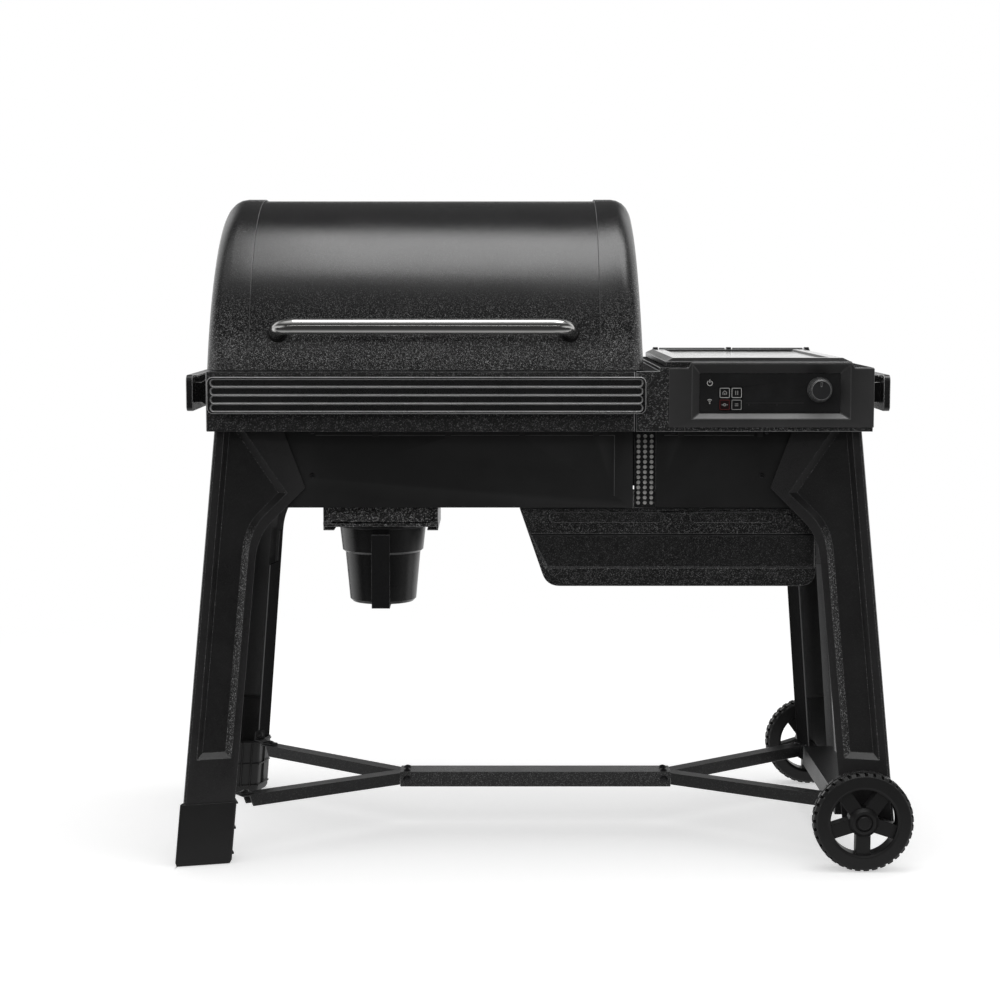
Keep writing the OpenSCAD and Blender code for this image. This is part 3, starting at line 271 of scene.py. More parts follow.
# Paler copy of the textured coat for the band, housing and bracket, which sit in shade: painted light that
# lifts their shade
BAND_LIT_COAT = coated("band_lit_coat", (0.0105, 0.0105, 0.0108), 0.3, 760.0, 0.0001, specular=0.6, glint=0.6)
FINE_COAT = coated("fine_coat", (0.0075, 0.0075, 0.0078), 0.36, 600.0, 0.0001, specular=0.4, glint=0.06)
TOP_COAT = coated("top_coat", (0.012, 0.012, 0.0125), 0.07, 900.0, 0.00001, specular=1.0)
DULL_COAT = coated("dull_coat", (0.006, 0.006, 0.0063), 0.6, 560.0, 0.0004, specular=0.1, glint=0.1)
INNER_COAT = coated("inner_coat", (0.011, 0.011, 0.0113), 0.42, 420.0, 0.00015, glint=0.02, dust=0.6)
LEG_COAT = coated("leg_coat", (0.019, 0.0185, 0.019), 0.3, 900.0, 0.00006, edge=2.0, glint=0.02)
# Coat with strong painted glints, for the pressed walls of the front legs' recesses where light catches them
LEG_WALL_GLINT = coated("leg_wall_glint", (0.0125, 0.012, 0.0125), 0.26, 800.0, 0.0001, specular=0.8, glint=0.5)
# Darker, duller copy of the leg coat for the rear legs, which sit in shade: painted shade
REAR_SHADED_COAT = coated("rear_shaded_coat", (0.006, 0.006, 0.0062), 0.75, 900.0, 0.00006, specular=0.02, glint=0.02)
# Much paler copy for the rear legs' faces that look forward: painted light that lifts their shade
REAR_LIT_FACE = coated("rear_lit_face", (0.09, 0.09, 0.091), 0.4, 900.0, 0.00006, glint=0.05)
SATIN = coated("satin_paint", (0.024, 0.024, 0.0243), 0.38, 700.0, 0.00006, dust=0.25)
BUCKET_PAINT = coated("bucket_paint", (0.0075, 0.0075, 0.0078), 0.28, 700.0, 0.00005, dust=0.2)
ENAMEL = coated("enamel", (0.012, 0.0118, 0.012), 0.24, 220.0, 0.0002, specular=0.6)
# Coats with a painted highlight, for edges (where it stands partly for wear too) and hems
BAND_RIM_HIGHLIGHT = coated("band_rim_highlight", (0.16, 0.16, 0.162), 0.25, 800.0, 0.00008, specular=0.9, glint=0.4)
COAT_RIM_HIGHLIGHT = coated("coat_rim_highlight", (0.05, 0.05, 0.051), 0.22, 800.0, 0.0001, specular=0.9, glint=0.5)
LEG_RIM_HIGHLIGHT = coated("leg_rim_highlight", (0.04, 0.04, 0.041), 0.24, 700.0, 0.00008, specular=0.9, glint=0.3)
HEM_HIGHLIGHT = coated("hem_highlight", (0.14, 0.14, 0.142), 0.3, 700.0, 0.00005, specular=0.8)
# Plastics, and plastics with a painted highlight for their edges and lip, by colour and roughness
RAIL_PLASTIC = moulded("rail_plastic", (0.0095, 0.0095, 0.01), 0.28, specular=0.9, grain=420.0)
TOUGH_PLASTIC = moulded("tough_plastic", (0.009, 0.0088, 0.009), 0.4)
BEZEL_PLASTIC = moulded("bezel_plastic", (0.039, 0.0385, 0.039), 0.46, grain=1500.0, dust=0.15)
KNOB_PLASTIC = moulded("knob_plastic", (0.027, 0.027, 0.028), 0.32, specular=0.55, grain=1600.0)
RAIL_RIM_HIGHLIGHT = moulded("rail_rim_highlight", (0.3, 0.3, 0.3), 0.2, specular=1.0, grain=420.0)
BEZEL_LIP_HIGHLIGHT = moulded("bezel_lip_highlight", (0.3, 0.3, 0.3), 0.4, grain=1500.0, dust=0.15)
BEZEL_RIM_HIGHLIGHT = moulded("bezel_rim_highlight", (0.08, 0.08, 0.08), 0.25, specular=0.7, grain=1500.0, dust=0.15)
KNOB_RIM_HIGHLIGHT = moulded("knob_rim_highlight", (0.2, 0.2, 0.2), 0.25, specular=0.8, grain=1600.0)
PANEL_GLASS = glossy("panel_glass", (0.022, 0.022, 0.0225), 0.1)
KEY_BLACK = glossy("key_black", (0.009, 0.009, 0.0095), 0.28, smudge=0.14)
KEY_RED = glossy("key_red", (0.016, 0.0035, 0.0035), 0.3, smudge=0.14)
# Metals, by colour, roughness and, where they are brushed, lines in a metre along each axis
HANDLE_STEEL = brushed("handle_steel", (0.62, 0.615, 0.605), 0.1, (6.0, 900.0, 900.0),
                       strength=0.04, anisotropy=0.0)
ROD_STEEL = brushed("rod_steel", (0.42, 0.42, 0.42), 0.34, (900.0, 8.0, 900.0))
BOLT_STEEL = brushed("bolt_steel", (0.06, 0.06, 0.062), 0.32, (500.0, 500.0, 500.0), anisotropy=0.0)
PLAIN_STEEL = sheet_steel("plain_steel", (0.45, 0.45, 0.455), 0.34)
SOOTED_STEEL = sheet_steel("sooted_steel", (0.36, 0.35, 0.34), 0.42, soot=0.75)
# Print, and the pale board that stands in for the backdrop seen through holes
WHITE_INK = ink("white_ink", (0.85, 0.85, 0.83))
DIM_INK = ink("dim_ink", (0.05, 0.05, 0.05))
GREY_INK = ink("grey_ink", (0.55, 0.55, 0.54))
RED_INK = ink("red_ink", (0.2, 0.03, 0.03))
BACKDROP_STAND_IN = ink("backdrop_stand_in", (0.85, 0.84, 0.82), roughness=0.8)


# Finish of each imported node

FINISH = {
    LID_COAT: "lid_sheet lid_end_left lid_end_right",
    COAT: "hopper_lid lower_shroud brace_bar exhaust_hood",
    BAND_LIT_COAT: "barrel_band hopper_housing bucket_bracket",
    FINE_COAT: "heat_screens arm_front_left arm_rear_left arm_front_right arm_rear_right lid_hinge_leaves "
               "lid_hinge_brackets axle_channel",
    LEG_COAT: "leg_front_left leg_front_right",
    REAR_SHADED_COAT: "leg_rear_left leg_rear_right",
    SATIN: "barrel_skirt hopper_skirt",
    BUCKET_PAINT: "grease_bucket bucket_strap",
    RAIL_PLASTIC: "front_rail left_rail right_rail rail_standoffs",
    TOUGH_PLASTIC: "foot_front_left foot_rear_left wheel_front wheel_rear controller_box fan_housing "
                   "power_inlet",
    BEZEL_PLASTIC: "control_bezel",
    KNOB_PLASTIC: "dial_knob",
    PANEL_GLASS: "display_glass",
    KEY_BLACK: "button_upper_left button_upper_right button_lower_right",
    KEY_RED: "button_lower_left",
    HANDLE_STEEL: "lid_handle temperature_probe",
    ROD_STEEL: "axle hopper_hinge_pin",
    BOLT_STEEL: "brace_bolts",
    PLAIN_STEEL: "hopper_bin auger_tube auger_screw auger_motor fan_wheel",
    SOOTED_STEEL: "barrel_tub fire_pot igniter_rod heat_baffle drip_tray",
    ENAMEL: "grates",
}
# Finish of the rounded edges: brighter than the faces, partly as wear and partly as a painted highlight
RIM_HIGHLIGHT = {
    LID_COAT: COAT_RIM_HIGHLIGHT, COAT: COAT_RIM_HIGHLIGHT, BAND_LIT_COAT: BAND_RIM_HIGHLIGHT, FINE_COAT: LEG_RIM_HIGHLIGHT, LEG_COAT: LEG_RIM_HIGHLIGHT,
    BUCKET_PAINT: LEG_RIM_HIGHLIGHT, RAIL_PLASTIC: RAIL_RIM_HIGHLIGHT, BEZEL_PLASTIC: BEZEL_RIM_HIGHLIGHT, KNOB_PLASTIC: KNOB_RIM_HIGHLIGHT,
}
# Rounding of the sharp edges of the nodes where it isn't the usual one; at 0 they stay sharp
USUAL_EDGE = 0.0008
EDGE = {
    0.0: "lid_handle auger_screw brace_bolts barrel_skirt hopper_skirt temperature_probe grease_bucket",
    0.0003: "heat_screens display_glass fan_wheel",
    0.0004: "leg_front_left leg_front_right leg_rear_left leg_rear_right",
    0.0005: "dial_knob",
    0.0006: "grates button_upper_left button_upper_right button_lower_left button_lower_right",
    0.00105: "front_rail left_rail right_rail",
    0.0012: "control_bezel",
    0.0014: "barrel_band",
}
# Large flat sheet with long thin faces, on which smooth shading would show creases
SKIRTS = ("barrel_skirt", "hopper_skirt")
SHARP = math.radians(32)
WELD_REACH = 0.00002


def by_name(groups):
    """Turns a table of names for each value into one of a value for each name."""
    return {name: value for value, names in groups.items() for name in names.split()}


def soften(obj, width, rim=None):
    """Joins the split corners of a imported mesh, rounds its sharp edges and, but for skirts, smooths it."""
    mesh = obj.data
    with bpy.context.temp_override(object=obj, active_object=obj):
        bpy.ops.mesh.customdata_custom_splitnormals_clear()
    mesh.polygons.foreach_set("use_smooth", [obj.name not in SKIRTS] * len(mesh.polygons))
    weld = obj.modifiers.new("weld", "WELD")
    weld.merge_threshold = WELD_REACH
    if width > 0:
        bevel = obj.modifiers.new("edges", "BEVEL")
        bevel.limit_method = "ANGLE"
        bevel.angle_limit = SHARP
        bevel.width = width
        bevel.segments = 2
        bevel.use_clamp_overlap = False
        bevel.harden_normals = True
        # The rounding takes the finish with a painted highlight, where one is given
        if rim:
            mesh.materials.append(rim)
            bevel.material = len(mesh.materials) - 1
    else:
        split = obj.modifiers.new("corners", "EDGE_SPLIT")
        split.split_angle = SHARP
    normal = obj.modifiers.new("normals", "WEIGHTED_NORMAL")
    normal.keep_sharp = True
    normal.weight = 80


finish_of = by_name(FINISH)
edge_of = by_name(EDGE)
for name, obj in nodes.items():
    material = finish_of[name]
    obj.data.materials.clear()
    obj.data.materials.append(material)
    soften(obj, edge_of.get(name, USUAL_EDGE), RIM_HIGHLIGHT.get(material))


# Faces with a finish of their own

def recoat(name, material, test):
    """Gives another finish to those faces of a node that pass a test.

    The test is given the face, its middle and its normal, whose parts are 1 straight along an axis.
    """
    mesh = nodes[name].data
    mesh.materials.append(material)
    index = len(mesh.materials) - 1
    for face in mesh.polygons:
        if test(face, face.center, face.normal):
            face.material_index = index


# Lid: plain coat inside, a coat with fewer painted glints on its flat ends, black bases under the handle
LID_RADIUS = 0.3
LID_AXIS_Y = 0.03
LID_AXIS_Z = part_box("lid_sheet")[1].z - LID_RADIUS
LID_MID_X = middle_x("lid_sheet")
# Height of the handle's bases above the lid
HANDLE_BASE = 0.0095


def from_lid_axis(c, n):
    """Above 0 on faces that look away from the axis of the lid's roll."""
    return n.y * (c.y - LID_AXIS_Y) + n.z * (c.z - LID_AXIS_Z)


def from_lid_middle(c, n):
    """Above 0 on faces that look toward the nearer end of the lid."""
    return n.x * (c.x - LID_MID_X)


recoat("lid_sheet", INNER_COAT, lambda f, c, n: from_lid_axis(c, n) < 0.0)
for name in ("lid_end_left", "lid_end_right"):
    recoat(name, INNER_COAT, lambda f, c, n: from_lid_middle(c, n) < -0.0005
           or abs(n.x) < 0.3 and from_lid_axis(c, n) < 0.0)
    recoat(name, COAT, lambda f, c, n: from_lid_middle(c, n) > 0.0 and abs(n.x) > 0.9)
recoat("lid_handle", TOUGH_PLASTIC,
       lambda f, c, n: math.hypot(c.y - LID_AXIS_Y, c.z - LID_AXIS_Z) < LID_RADIUS + HANDLE_BASE)

# Hopper: shining top of its lid, plain coat below it, dull ledge around it
hopper_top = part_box("hopper_lid")[1].z
recoat("hopper_lid", TOP_COAT, lambda f, c, n: n.z > 0.97 and c.z > hopper_top - 0.02)
recoat("hopper_lid", INNER_COAT, lambda f, c, n: n.z < -0.5)
recoat("hopper_housing", DULL_COAT, lambda f, c, n: n.z > 0.3)

# Axle: black caps on its ends
axle_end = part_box("wheel_rear")[1].y
recoat("axle", TOUGH_PLASTIC, lambda f, c, n: abs(c.y) > axle_end - 0.004)

# Legs: painted glints on the pressed walls of the front recesses; outer faces of the rear legs, and those
# that look forward
for name in ("leg_front_left", "leg_front_right"):
    recoat(name, LEG_WALL_GLINT,
           lambda f, c, n: n.y < -0.3 and 0.42 < abs(n.x) < 0.93 and n.x * (c.x - MID_X) > 0.0)
# Rear legs: painted shade in their darker coat, put back to the leg coat on outer and backward faces, and
# painted light on faces that look forward
for name in ("leg_rear_left", "leg_rear_right"):
    recoat(name, LEG_COAT, lambda f, c, n: abs(n.x) > 0.6 and n.x * (c.x - MID_X) > 0.0 or n.y > 0.5)
    recoat(name, REAR_LIT_FACE, lambda f, c, n: n.y < -0.5)

# Panel: painted highlight on the lip below the glass
window_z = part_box("display_glass")[0].z
recoat("control_bezel", BEZEL_LIP_HIGHLIGHT,
       lambda f, c, n: 0.35 < n.z < 0.95 and n.y < -0.2 and abs(c.z - window_z) < 0.02)

# Barrel band and skirts: painted highlight on the lines of the hems, and screw heads, which stand in front
# of the skirt's face
band_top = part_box("barrel_band")[1].z
recoat("barrel_band", HEM_HIGHLIGHT, lambda f, c, n: n.z > 0.9 and c.z > band_top - 0.001)
SCREW_RISE = 0.003
SCREW_FACE_AREA = 0.000015
for name in SKIRTS:
    face_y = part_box(name)[0].y + SCREW_RISE
    recoat(name, HEM_HIGHLIGHT, lambda f, c, n: 0.0003 < c.y - face_y < 0.0009 and n.y < -0.9)
    recoat(name, BOLT_STEEL, lambda f, c, n: c.y < face_y - 0.0002 and f.area < SCREW_FACE_AREA)

# Bucket: painted highlight on the undersides of its steps
bucket_low, bucket_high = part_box("grease_bucket")
bucket_height = bucket_high.z - bucket_low.z
recoat("grease_bucket", HEM_HIGHLIGHT,
       lambda f, c, n: -0.95 < n.z < -0.3 and 0.3 < (c.z - bucket_low.z) / bucket_height < 0.9)


# Small fittings

def add_piece(name, bm, material, body, smooth=False):
    """Turns a bmesh into a piece that rides on a body."""
    bmesh.ops.recalc_face_normals(bm, faces=bm.faces)
    mesh = bpy.data.meshes.new(name)
    bm.to_mesh(mesh)
    bm.free()
    mesh.materials.append(material)
    mesh.polygons.foreach_set("use_smooth", [smooth] * len(mesh.polygons))
    obj = bpy.data.objects.new(name, mesh)
    scene.collection.objects.link(obj)
    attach(obj, body)


def stroke(bm, path, width, y, thick=0.0003, closed=False):
    """A flat line of even width drawn in the XZ plane on a face at depth y, standing a little proud."""
    points = [Vector(p) for p in path]
    count = len(points)
    sides = []
    for i, p in enumerate(points):
        back = points[(i - 1) % count] if closed or i > 0 else None
        ahead = points[(i + 1) % count] if closed or i < count - 1 else None
        into = (p - back).normalized() if back is not None else (ahead - p).normalized()
        out = (ahead - p).normalized() if ahead is not None else into
        mitre = Vector((-(into + out).y, (into + out).x)).normalized()
        reach = width / 2 / max(0.5, mitre.dot(Vector((-into.y, into.x))))
        sides.append((p + mitre * reach, p - mitre * reach))
    rings = [[bm.verts.new((q.x, depth, q.y)) for q, depth in
              ((a, y), (a, y - thick), (b, y - thick), (b, y))] for a, b in sides]
    last = count if closed else count - 1
    for i in range(last):
        one, two = rings[i], rings[(i + 1) % count]
        for k in range(4):
            bm.faces.new((one[k], one[(k + 1) % 4], two[(k + 1) % 4], two[k]))
    if not closed:
        bm.faces.new(rings[0])
        bm.faces.new(rings[-1])


def arc(cx, cz, radius, start, end, steps=20):
    """Points on part of a circle, angles in degrees from +X toward +Z."""
    turns = [math.radians(start + (end - start) * i / steps) for i in range(steps + 1)]
    return [(cx + radius * math.cos(t), cz + radius * math.sin(t)) for t in turns]


def round_square(cx, cz, half, corner, steps=4):
    """Outline of a square with rounded corners."""
    path = []
    inner = half - corner
    for k, (sx, sz) in enumerate(((1, 1), (-1, 1), (-1, -1), (1, -1))):
        path += arc(cx + sx * inner, cz + sz * inner, corner, 90 * k, 90 * k + 90, steps)
    return path


# Panel print: a power sign, a signal sign and a faint scale on the glass
GLASS_LOW, GLASS_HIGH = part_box("display_glass")
GLASS_FACE = GLASS_LOW.y
SIGN_X = GLASS_LOW.x + 0.0166
POWER_Z = GLASS_HIGH.z - 0.0155
SIGNAL_Z = GLASS_LOW.z + 0.0194
SCALE_Z = GLASS_LOW.z + 0.0165
SCALE_START, SCALE_END = GLASS_LOW.x + 0.076, GLASS_LOW.x + 0.171
SCALE_TICKS = (GLASS_LOW.x + 0.081, GLASS_LOW.x + 0.127)
POWER_RADIUS, STEM_START, STEM_END = 0.0042, 0.0005, 0.006
DOT_RADIUS, DOT_DROP, WAVE_RADII, WAVE_DROP = 0.0006, 0.003, (0.0025, 0.005), 0.002
TICK_START, TICK_END = 0.004, 0.0015
POWER_LINE, SIGNAL_LINE, SCALE_LINE, TICK_LINE = 0.0011, 0.001, 0.0008, 0.0012

bm = bmesh.new()
stroke(bm, arc(SIGN_X, POWER_Z, POWER_RADIUS, 125, 415), POWER_LINE, GLASS_FACE)
stroke(bm, [(SIGN_X, POWER_Z + STEM_START), (SIGN_X, POWER_Z + STEM_END)], POWER_LINE, GLASS_FACE)
for radius in WAVE_RADII:
    stroke(bm, arc(SIGN_X, SIGNAL_Z - WAVE_DROP, radius, 45, 135, 10), SIGNAL_LINE, GLASS_FACE)
dot = arc(SIGN_X, SIGNAL_Z - DOT_DROP, DOT_RADIUS, 0, 330, 10)
stroke(bm, dot, SIGNAL_LINE, GLASS_FACE, closed=True)
add_piece("panel_signs", bm, WHITE_INK, "cart")

bm = bmesh.new()
stroke(bm, [(SCALE_START, SCALE_Z), (SCALE_END, SCALE_Z)], SCALE_LINE, GLASS_FACE)
for x in SCALE_TICKS:
    stroke(bm, [(x, SCALE_Z - TICK_START), (x, SCALE_Z - TICK_END)], TICK_LINE, GLASS_FACE)
add_piece("panel_scale", bm, DIM_INK, "cart")


# A rounded border and a plain sign on each key
MM = 0.001
BORDER_INSET, BORDER_CORNER, BORDER_LINE = 0.0011, 0.0016, 0.0009
SIGN_LINE = 0.0011
KEYS = {"upper_left": ("house", WHITE_INK), "upper_right": ("bars", WHITE_INK),
        "lower_left": ("ring", RED_INK), "lower_right": ("lines", GREY_INK)}


def key_signs(cx, cz):
    """Paths of the plain signs, drawn in millimetres about the middle of a key."""
    def line(*points):
        return [(cx + x * MM, cz + z * MM) for x, z in points]

    return {
        "house": [line((-3, -3), (-3, 1), (0, 3.4), (3, 1), (3, -3)),
                  line((-1.2, -3), (0, -1), (1.2, -3))],
        "bars": [line((x, -3.4), (x, 3.4)) for x in (-1.7, 1.7)],
        "ring": [arc(cx, cz, 1.9 * MM, 0, 345, 16), line((-5, 0), (-3, 0)), line((3, 0), (5, 0))],
        "lines": [line((-2.8, z), (2.8, z)) for z in (-1.5, 1.5)],
    }


for place, (sign, colour) in KEYS.items():
    low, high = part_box("button_" + place)
    cx, cz, half = (low.x + high.x) / 2, (low.z + high.z) / 2, (high.x - low.x) / 2
    bm = bmesh.new()
    stroke(bm, round_square(cx, cz, half - BORDER_INSET, BORDER_CORNER), BORDER_LINE, low.y, closed=True)
    add_piece("key_border_" + place, bm, colour, "key_" + place)
    bm = bmesh.new()
    for path in key_signs(cx, cz)[sign]:
        stroke(bm, path, SIGN_LINE, low.y)
    add_piece("key_print_" + place, bm, GREY_INK, "key_" + place)


# Pale board behind the front perforated screen, seen through its holes in place of the bright backdrop
# beyond them
BOARD_SET_BACK = 0.0027
BOARD_THICK = 0.004
BOARD_WAVE = 0.0004
BOARD_MARGIN_X, BOARD_MARGIN_Z = 0.002, 0.004
BOARD_COLUMNS, BOARD_ROWS = 8, 40


def stand_in_board():
    """A board with a slightly wavy face, a little smaller than the screen."""
    low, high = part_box("heat_screens")
    start_x, start_z = low.x + BOARD_MARGIN_X, low.z + BOARD_MARGIN_Z
    width, height = high.x - low.x - 2 * BOARD_MARGIN_X, high.z - low.z - 2 * BOARD_MARGIN_Z
    front = low.y + BOARD_SET_BACK
    bm = bmesh.new()

    def sheet(depth):
        return [[bm.verts.new((start_x + width * i / BOARD_COLUMNS,
                               depth + BOARD_WAVE * math.sin(2.4 * i) * math.sin(1.9 * j),
                               start_z + height * j / BOARD_ROWS))
                 for i in range(BOARD_COLUMNS + 1)] for j in range(BOARD_ROWS + 1)]

    near, far = sheet(front), sheet(front + BOARD_THICK)
    for grid in (near, far):
        for j in range(BOARD_ROWS):
            for i in range(BOARD_COLUMNS):
                bm.faces.new((grid[j][i], grid[j][i + 1], grid[j + 1][i + 1], grid[j + 1][i]))
    edge = [(0, i) for i in range(BOARD_COLUMNS)]
    edge += [(j, BOARD_COLUMNS) for j in range(BOARD_ROWS)]
    edge += [(BOARD_ROWS, i) for i in range(BOARD_COLUMNS, 0, -1)]
    edge += [(j, 0) for j in range(BOARD_ROWS, 0, -1)]
    for (j, i), (next_j, next_i) in zip(edge, edge[1:] + edge[:1]):
        bm.faces.new((near[j][i], near[next_j][next_i], far[next_j][next_i], far[j][i]))
    return bm


add_piece("screen_stand_in_board", stand_in_board(), BACKDROP_STAND_IN, "cart", smooth=True)


# Bent tabs that tie the left brace arms to the legs, with dome bolts, and the bolts of the right arms

# Middle line of a brace arm in plan, from the middle of the cart; the other arms are its mirror images
ARM_START, ARM_END = Vector((0.215, -0.01)), Vector((0.507, 0.204))
ARM_WAY = (ARM_END - ARM_START).normalized()
ARM_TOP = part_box("arm_front_left")[1].z
ARM_BOLT_BACK = 0.01
# Flange of the leg beyond the arm's end: how far off it is at one height, and how it runs from there
FLANGE_GAP, FLANGE_Z = 0.0162, 0.105
FLANGE_SKEW, FLANGE_LEAN = 0.374, 0.107
# Tab: it lies on the arm, bends up to just over the boot's rim, and ends on the leg
TAB_THICK, TAB_HALF, TAB_TRIM = 0.0025, 0.009, 0.0012
TAB_BACK = 0.024
BEND_START, BEND_END, BEND_SHIFT = 0.003, 0.008, 0.001
TAB_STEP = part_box("foot_front_left")[1].z + 0.0003
TAB_TOP = 0.123
TAB_BOLT_BACK, TAB_BOLT_Z = 0.012, 0.115
# Outline of a dome head on its washer, in shares of its radius and height
WASHER_TOP = 0.28
BOLT_PROFILE = [(1.35, 0.0), (1.35, 0.2), (1.28, WASHER_TOP), (1.0, WASHER_TOP)]
BOLT_PROFILE += [(math.cos(t), WASHER_TOP + (1.0 - WASHER_TOP) * math.sin(t))
                 for t in map(math.radians, (15, 32, 50, 68))]
BOLT_SIDES = 24
UP = Vector((0, 0, 1))


def arm_place(side, end, u, v, z):
    """A point u outward along a brace arm from its end, v across it and z up, at one of four corners."""
    x = ARM_END.x + u * ARM_WAY.x + v * ARM_WAY.y
    y = ARM_END.y + u * ARM_WAY.y - v * ARM_WAY.x
    return Vector((MID_X + side * x, end * y, z))


def flange(v, z):
    """How far beyond the arm's end the leg's flange is, v across the arm and at height z."""
    return FLANGE_GAP + FLANGE_SKEW * v - FLANGE_LEAN * (z - FLANGE_Z)


def dome_bolt(bm, centre, axis, radius=0.0065, height=0.0042):
    """A dome head on a washer."""
    turn = UP.rotation_difference(axis).to_matrix()
    angles = [math.tau * k / BOLT_SIDES for k in range(BOLT_SIDES)]
    rings = []
    for r, h in BOLT_PROFILE:
        ring = [Vector((r * radius * math.cos(t), r * radius * math.sin(t), h * height)) for t in angles]
        rings.append([bm.verts.new(centre + turn @ p) for p in ring])
    for lower, upper in zip(rings, rings[1:]):
        for k in range(BOLT_SIDES):
            ahead = (k + 1) % BOLT_SIDES
            bm.faces.new((lower[k], lower[ahead], upper[ahead], upper[k]))
    bm.faces.new(rings[-1])
    bm.faces.new(rings[0][::-1])


def arm_tab(side, end):
    """A strip that lies on the arm, steps over the boot's rim and turns up along the leg's flange."""
    bm = bmesh.new()
    rows = []
    for v in (-TAB_HALF, -0.8 * TAB_HALF, 0.8 * TAB_HALF, TAB_HALF):
        trim = TAB_TRIM if abs(v) == TAB_HALF else 0.0
        back, top = -TAB_BACK + trim, TAB_TOP - trim
        lower = [(back, ARM_TOP), (BEND_START, ARM_TOP), (BEND_END, TAB_STEP),
                 (flange(v, TAB_STEP), TAB_STEP), (flange(v, TAB_TOP), top)]
        arm_face, step_face = ARM_TOP + TAB_THICK, TAB_STEP + TAB_THICK
        upper = [(back, arm_face), (BEND_START - BEND_SHIFT, arm_face), (BEND_END - BEND_SHIFT, step_face),
                 (flange(v, step_face) - TAB_THICK, step_face), (flange(v, TAB_TOP) - TAB_THICK, top)]
        rows.append([bm.verts.new(arm_place(side, end, u, v, z)) for u, z in lower + upper[::-1]])
    count = len(rows[0])
    for near, far in zip(rows, rows[1:]):
        for k in range(count):
            bm.faces.new((near[k], near[(k + 1) % count], far[(k + 1) % count], far[k]))
    for row in (rows[0], rows[-1]):
        for k in range(count // 2 - 1):
            bm.faces.new((row[k], row[k + 1], row[count - 2 - k], row[count - 1 - k]))
    dome_bolt(bm, arm_place(side, end, -TAB_BOLT_BACK, 0.0, ARM_TOP + TAB_THICK), UP)
    inward = arm_place(side, end, -1.0, FLANGE_SKEW, 0.0) - arm_place(side, end, 0.0, 0.0, 0.0)
    on_leg = arm_place(side, end, flange(0.0, TAB_BOLT_Z) - TAB_THICK, 0.0, TAB_BOLT_Z)
    dome_bolt(bm, on_leg, inward.normalized(), radius=0.005, height=0.0035)
    return bm


for end, word in ((-1, "front"), (1, "rear")):
    add_piece("arm_tab_" + word, arm_tab(-1, end), FINE_COAT, "cart")
    bm = bmesh.new()
    dome_bolt(bm, arm_place(1, end, -ARM_BOLT_BACK, 0.0, ARM_TOP), UP)
    add_piece("arm_bolt_" + word, bm, BOLT_STEEL, "cart")


# Floor, light and camera

FLOOR_RADIUS = 14.0
FLOOR_DROP = 0.0005
FLOOR_TONES = ((0.85, 0.85, 0.85), (0.89, 0.89, 0.89))
# Distances over which the floor runs out to white, and its own glow before that
FADE_START, FADE_END = 0.8, 2.6
FLOOR_LIFT = 0.46
# Rise of the floor's bounced light and of its mirror image: from where to where in Y, and how strong
BOUNCE_RISE = (-1.1, -0.4, 0.07, 0.7)
MIRROR_RISE = (-0.6, 0.4, 0.05, 1.0)
# Brightness of the room's sides in mirrors, and of the light that comes evenly from all sides
ROOM_FRONT, ROOM_SIDE, ROOM_BACK, ROOM_ROOF = 0.05, 0.7, 0.95, 0.8
ROOM_FILL = 0.62


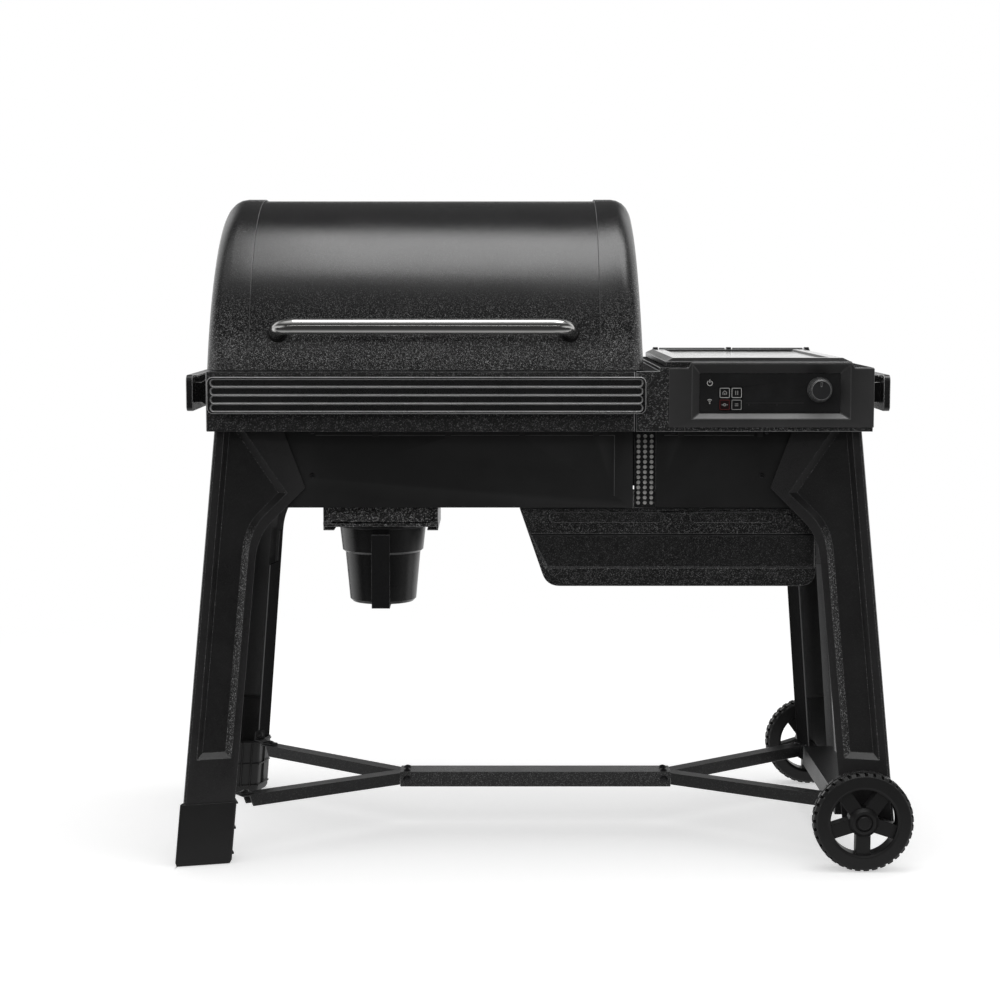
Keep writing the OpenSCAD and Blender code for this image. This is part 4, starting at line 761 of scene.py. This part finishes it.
def make_floor():
    """A wide pale disc, which to the camera keeps the shadow and runs out to plain white.

    Mirrors see it fade toward the front, and there it throws little light back at the grill.
    """
    bm = bmesh.new()
    bmesh.ops.create_circle(bm, cap_ends=True, radius=FLOOR_RADIUS, segments=96)
    mesh = bpy.data.meshes.new("floor")
    bm.to_mesh(mesh)
    bm.free()
    floor = bpy.data.objects.new("floor", mesh)
    floor.location.z = -FLOOR_DROP
    scene.collection.objects.link(floor)

    paint = Paint("floor_paint", roughness=0.9, specular=0.0)
    distance = paint.node("VectorMath", {0: paint.place}, operation="LENGTH").outputs["Value"]
    away = paint.spread(distance, FADE_START, FADE_END, 0.0, 1.0, ease="SMOOTHSTEP")
    behind = paint.node("SeparateXYZ", {"Vector": paint.place}).outputs["Y"]
    light = paint.node("LightPath").outputs

    grain = paint.noise(60.0, detail=3.0)
    near = paint.blend(paint.spread(grain, 0.3, 0.7, 0.0, 1.0), *FLOOR_TONES)
    lit = paint.calc(light["Is Camera Ray"], "MAXIMUM", paint.spread(behind, *BOUNCE_RISE))
    paint.feed("Base Color", paint.blend(lit, BLACK, paint.blend(away, near, BLACK)))

    mirrored = paint.calc(light["Is Glossy Ray"], "MAXIMUM", light["Is Transmission Ray"])
    mirrored = paint.calc(mirrored, "MULTIPLY", paint.spread(behind, *MIRROR_RISE))
    seen = paint.calc(light["Is Camera Ray"], "MAXIMUM", mirrored)
    lift = paint.spread(away, 0.0, 1.0, FLOOR_LIFT, 1.0)
    paint.shader.inputs["Emission Color"].default_value = (*WHITE, 1.0)
    paint.feed("Emission Strength", paint.calc(seen, "MULTIPLY", lift))
    mesh.materials.append(paint.material)
    floor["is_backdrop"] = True


def make_world():
    """White to the camera and an even fill to dull faces.

    Mirrors see a room with a pale back wall, boards at its sides, a pale roof and a dark front.
    """
    world = bpy.data.worlds.new("studio")
    scene.world = world
    world.use_nodes = True
    world.node_tree.nodes.clear()
    room = Nodes(world.node_tree)
    way = room.node("SeparateXYZ", {"Vector": room.node("TexCoord").outputs["Generated"]}).outputs

    def ramp(value, start, end, to_start, to_end):
        """Goes from one strength to the other as a part of the ray's direction goes from start to end."""
        return room.spread(value, start, end, to_start, to_end, ease="SMOOTHSTEP")

    x, y, z = room.calc(way["X"], "ABSOLUTE", 0.0), way["Y"], way["Z"]
    boards = room.calc(ramp(x, 0.15, 0.45, 0.0, 1.0), "MULTIPLY", ramp(z, 0.5, 0.8, 1.0, 0.0))
    back = room.calc(boards, "MAXIMUM", ramp(z, 0.08, 0.3, 1.0, 0.05))
    back = room.calc(back, "MULTIPLY", ramp(y, 0.0, 0.5, 0.0, ROOM_BACK))
    sides = room.calc(ramp(x, 0.6, 0.9, 0.0, ROOM_SIDE), "MULTIPLY", ramp(z, 0.15, 0.4, 1.0, 0.0))
    roof = room.calc(ramp(z, 0.5, 1.0, 0.0, ROOM_ROOF), "MULTIPLY", ramp(y, 0.1, 0.4, 1.0, 0.0))
    roof = room.calc(roof, "MULTIPLY", ramp(y, -0.7, -0.15, 0.3, 1.0))
    walls = room.calc(back, "MAXIMUM", sides)
    mirrored = room.calc(room.calc(walls, "ADD", roof), "ADD", ROOM_FRONT)

    def glow(strength):
        inputs = {"Color": (*WHITE, 1.0), "Strength": strength}
        return room.node("Background", inputs).outputs["Background"]

    light = room.node("LightPath").outputs
    mirror = glow(mirrored)
    sights = {"Is Glossy Ray": mirror, "Is Transmission Ray": mirror, "Is Camera Ray": glow(1.0)}
    shown = glow(ROOM_FILL)
    for ray, sight in sights.items():
        shown = room.node("MixShader", {0: light[ray], 1: shown, 2: sight}).outputs["Shader"]
    room.node("OutputWorld", {"Surface": shown})


def soft_light(name, place, target, size_x, size_y, radiance):
    """A rectangular lamp whose face has about the given brightness."""
    lamp = bpy.data.lights.new(name, "AREA")
    lamp.shape = "RECTANGLE"
    lamp.size, lamp.size_y = size_x, size_y
    lamp.energy = radiance * math.pi * size_x * size_y
    obj = bpy.data.objects.new(name, lamp)
    obj.location = place
    obj.rotation_euler = (Vector(target) - Vector(place)).to_track_quat("-Z", "Y").to_euler()
    scene.collection.objects.link(obj)


make_floor()
make_world()
soft_light("overhead", (0.27, -0.2, 2.75), (0.27, -0.2, 0.0), size_x=1.9, size_y=1.25, radiance=2.9)
soft_light("front_strip", (0.0, -3.5, 1.8), (0.0, 0.0, 0.8), size_x=5.0, size_y=0.22, radiance=1.2)

# Camera, found from the photograph: level with the lid, left of the cart's middle, looking down
CAMERA_ASIDE, CAMERA_AWAY, CAMERA_HEIGHT = -0.0632, 3.77, 0.9625
CAMERA_PITCH = math.radians(5.75)
LENS_MM, SENSOR_MM = 76.9, 36.0
camera_data = bpy.data.cameras.new("camera")
camera_data.sensor_width = SENSOR_MM
camera_data.lens = LENS_MM
camera = bpy.data.objects.new("camera", camera_data)
camera.location = (MID_X + CAMERA_ASIDE, -CAMERA_AWAY, CAMERA_HEIGHT)
camera.rotation_euler = (math.pi / 2 - CAMERA_PITCH, 0.0, 0.0)
scene.collection.objects.link(camera)
scene.camera = camera

scene.view_settings.view_transform = "Standard"

low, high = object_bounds()
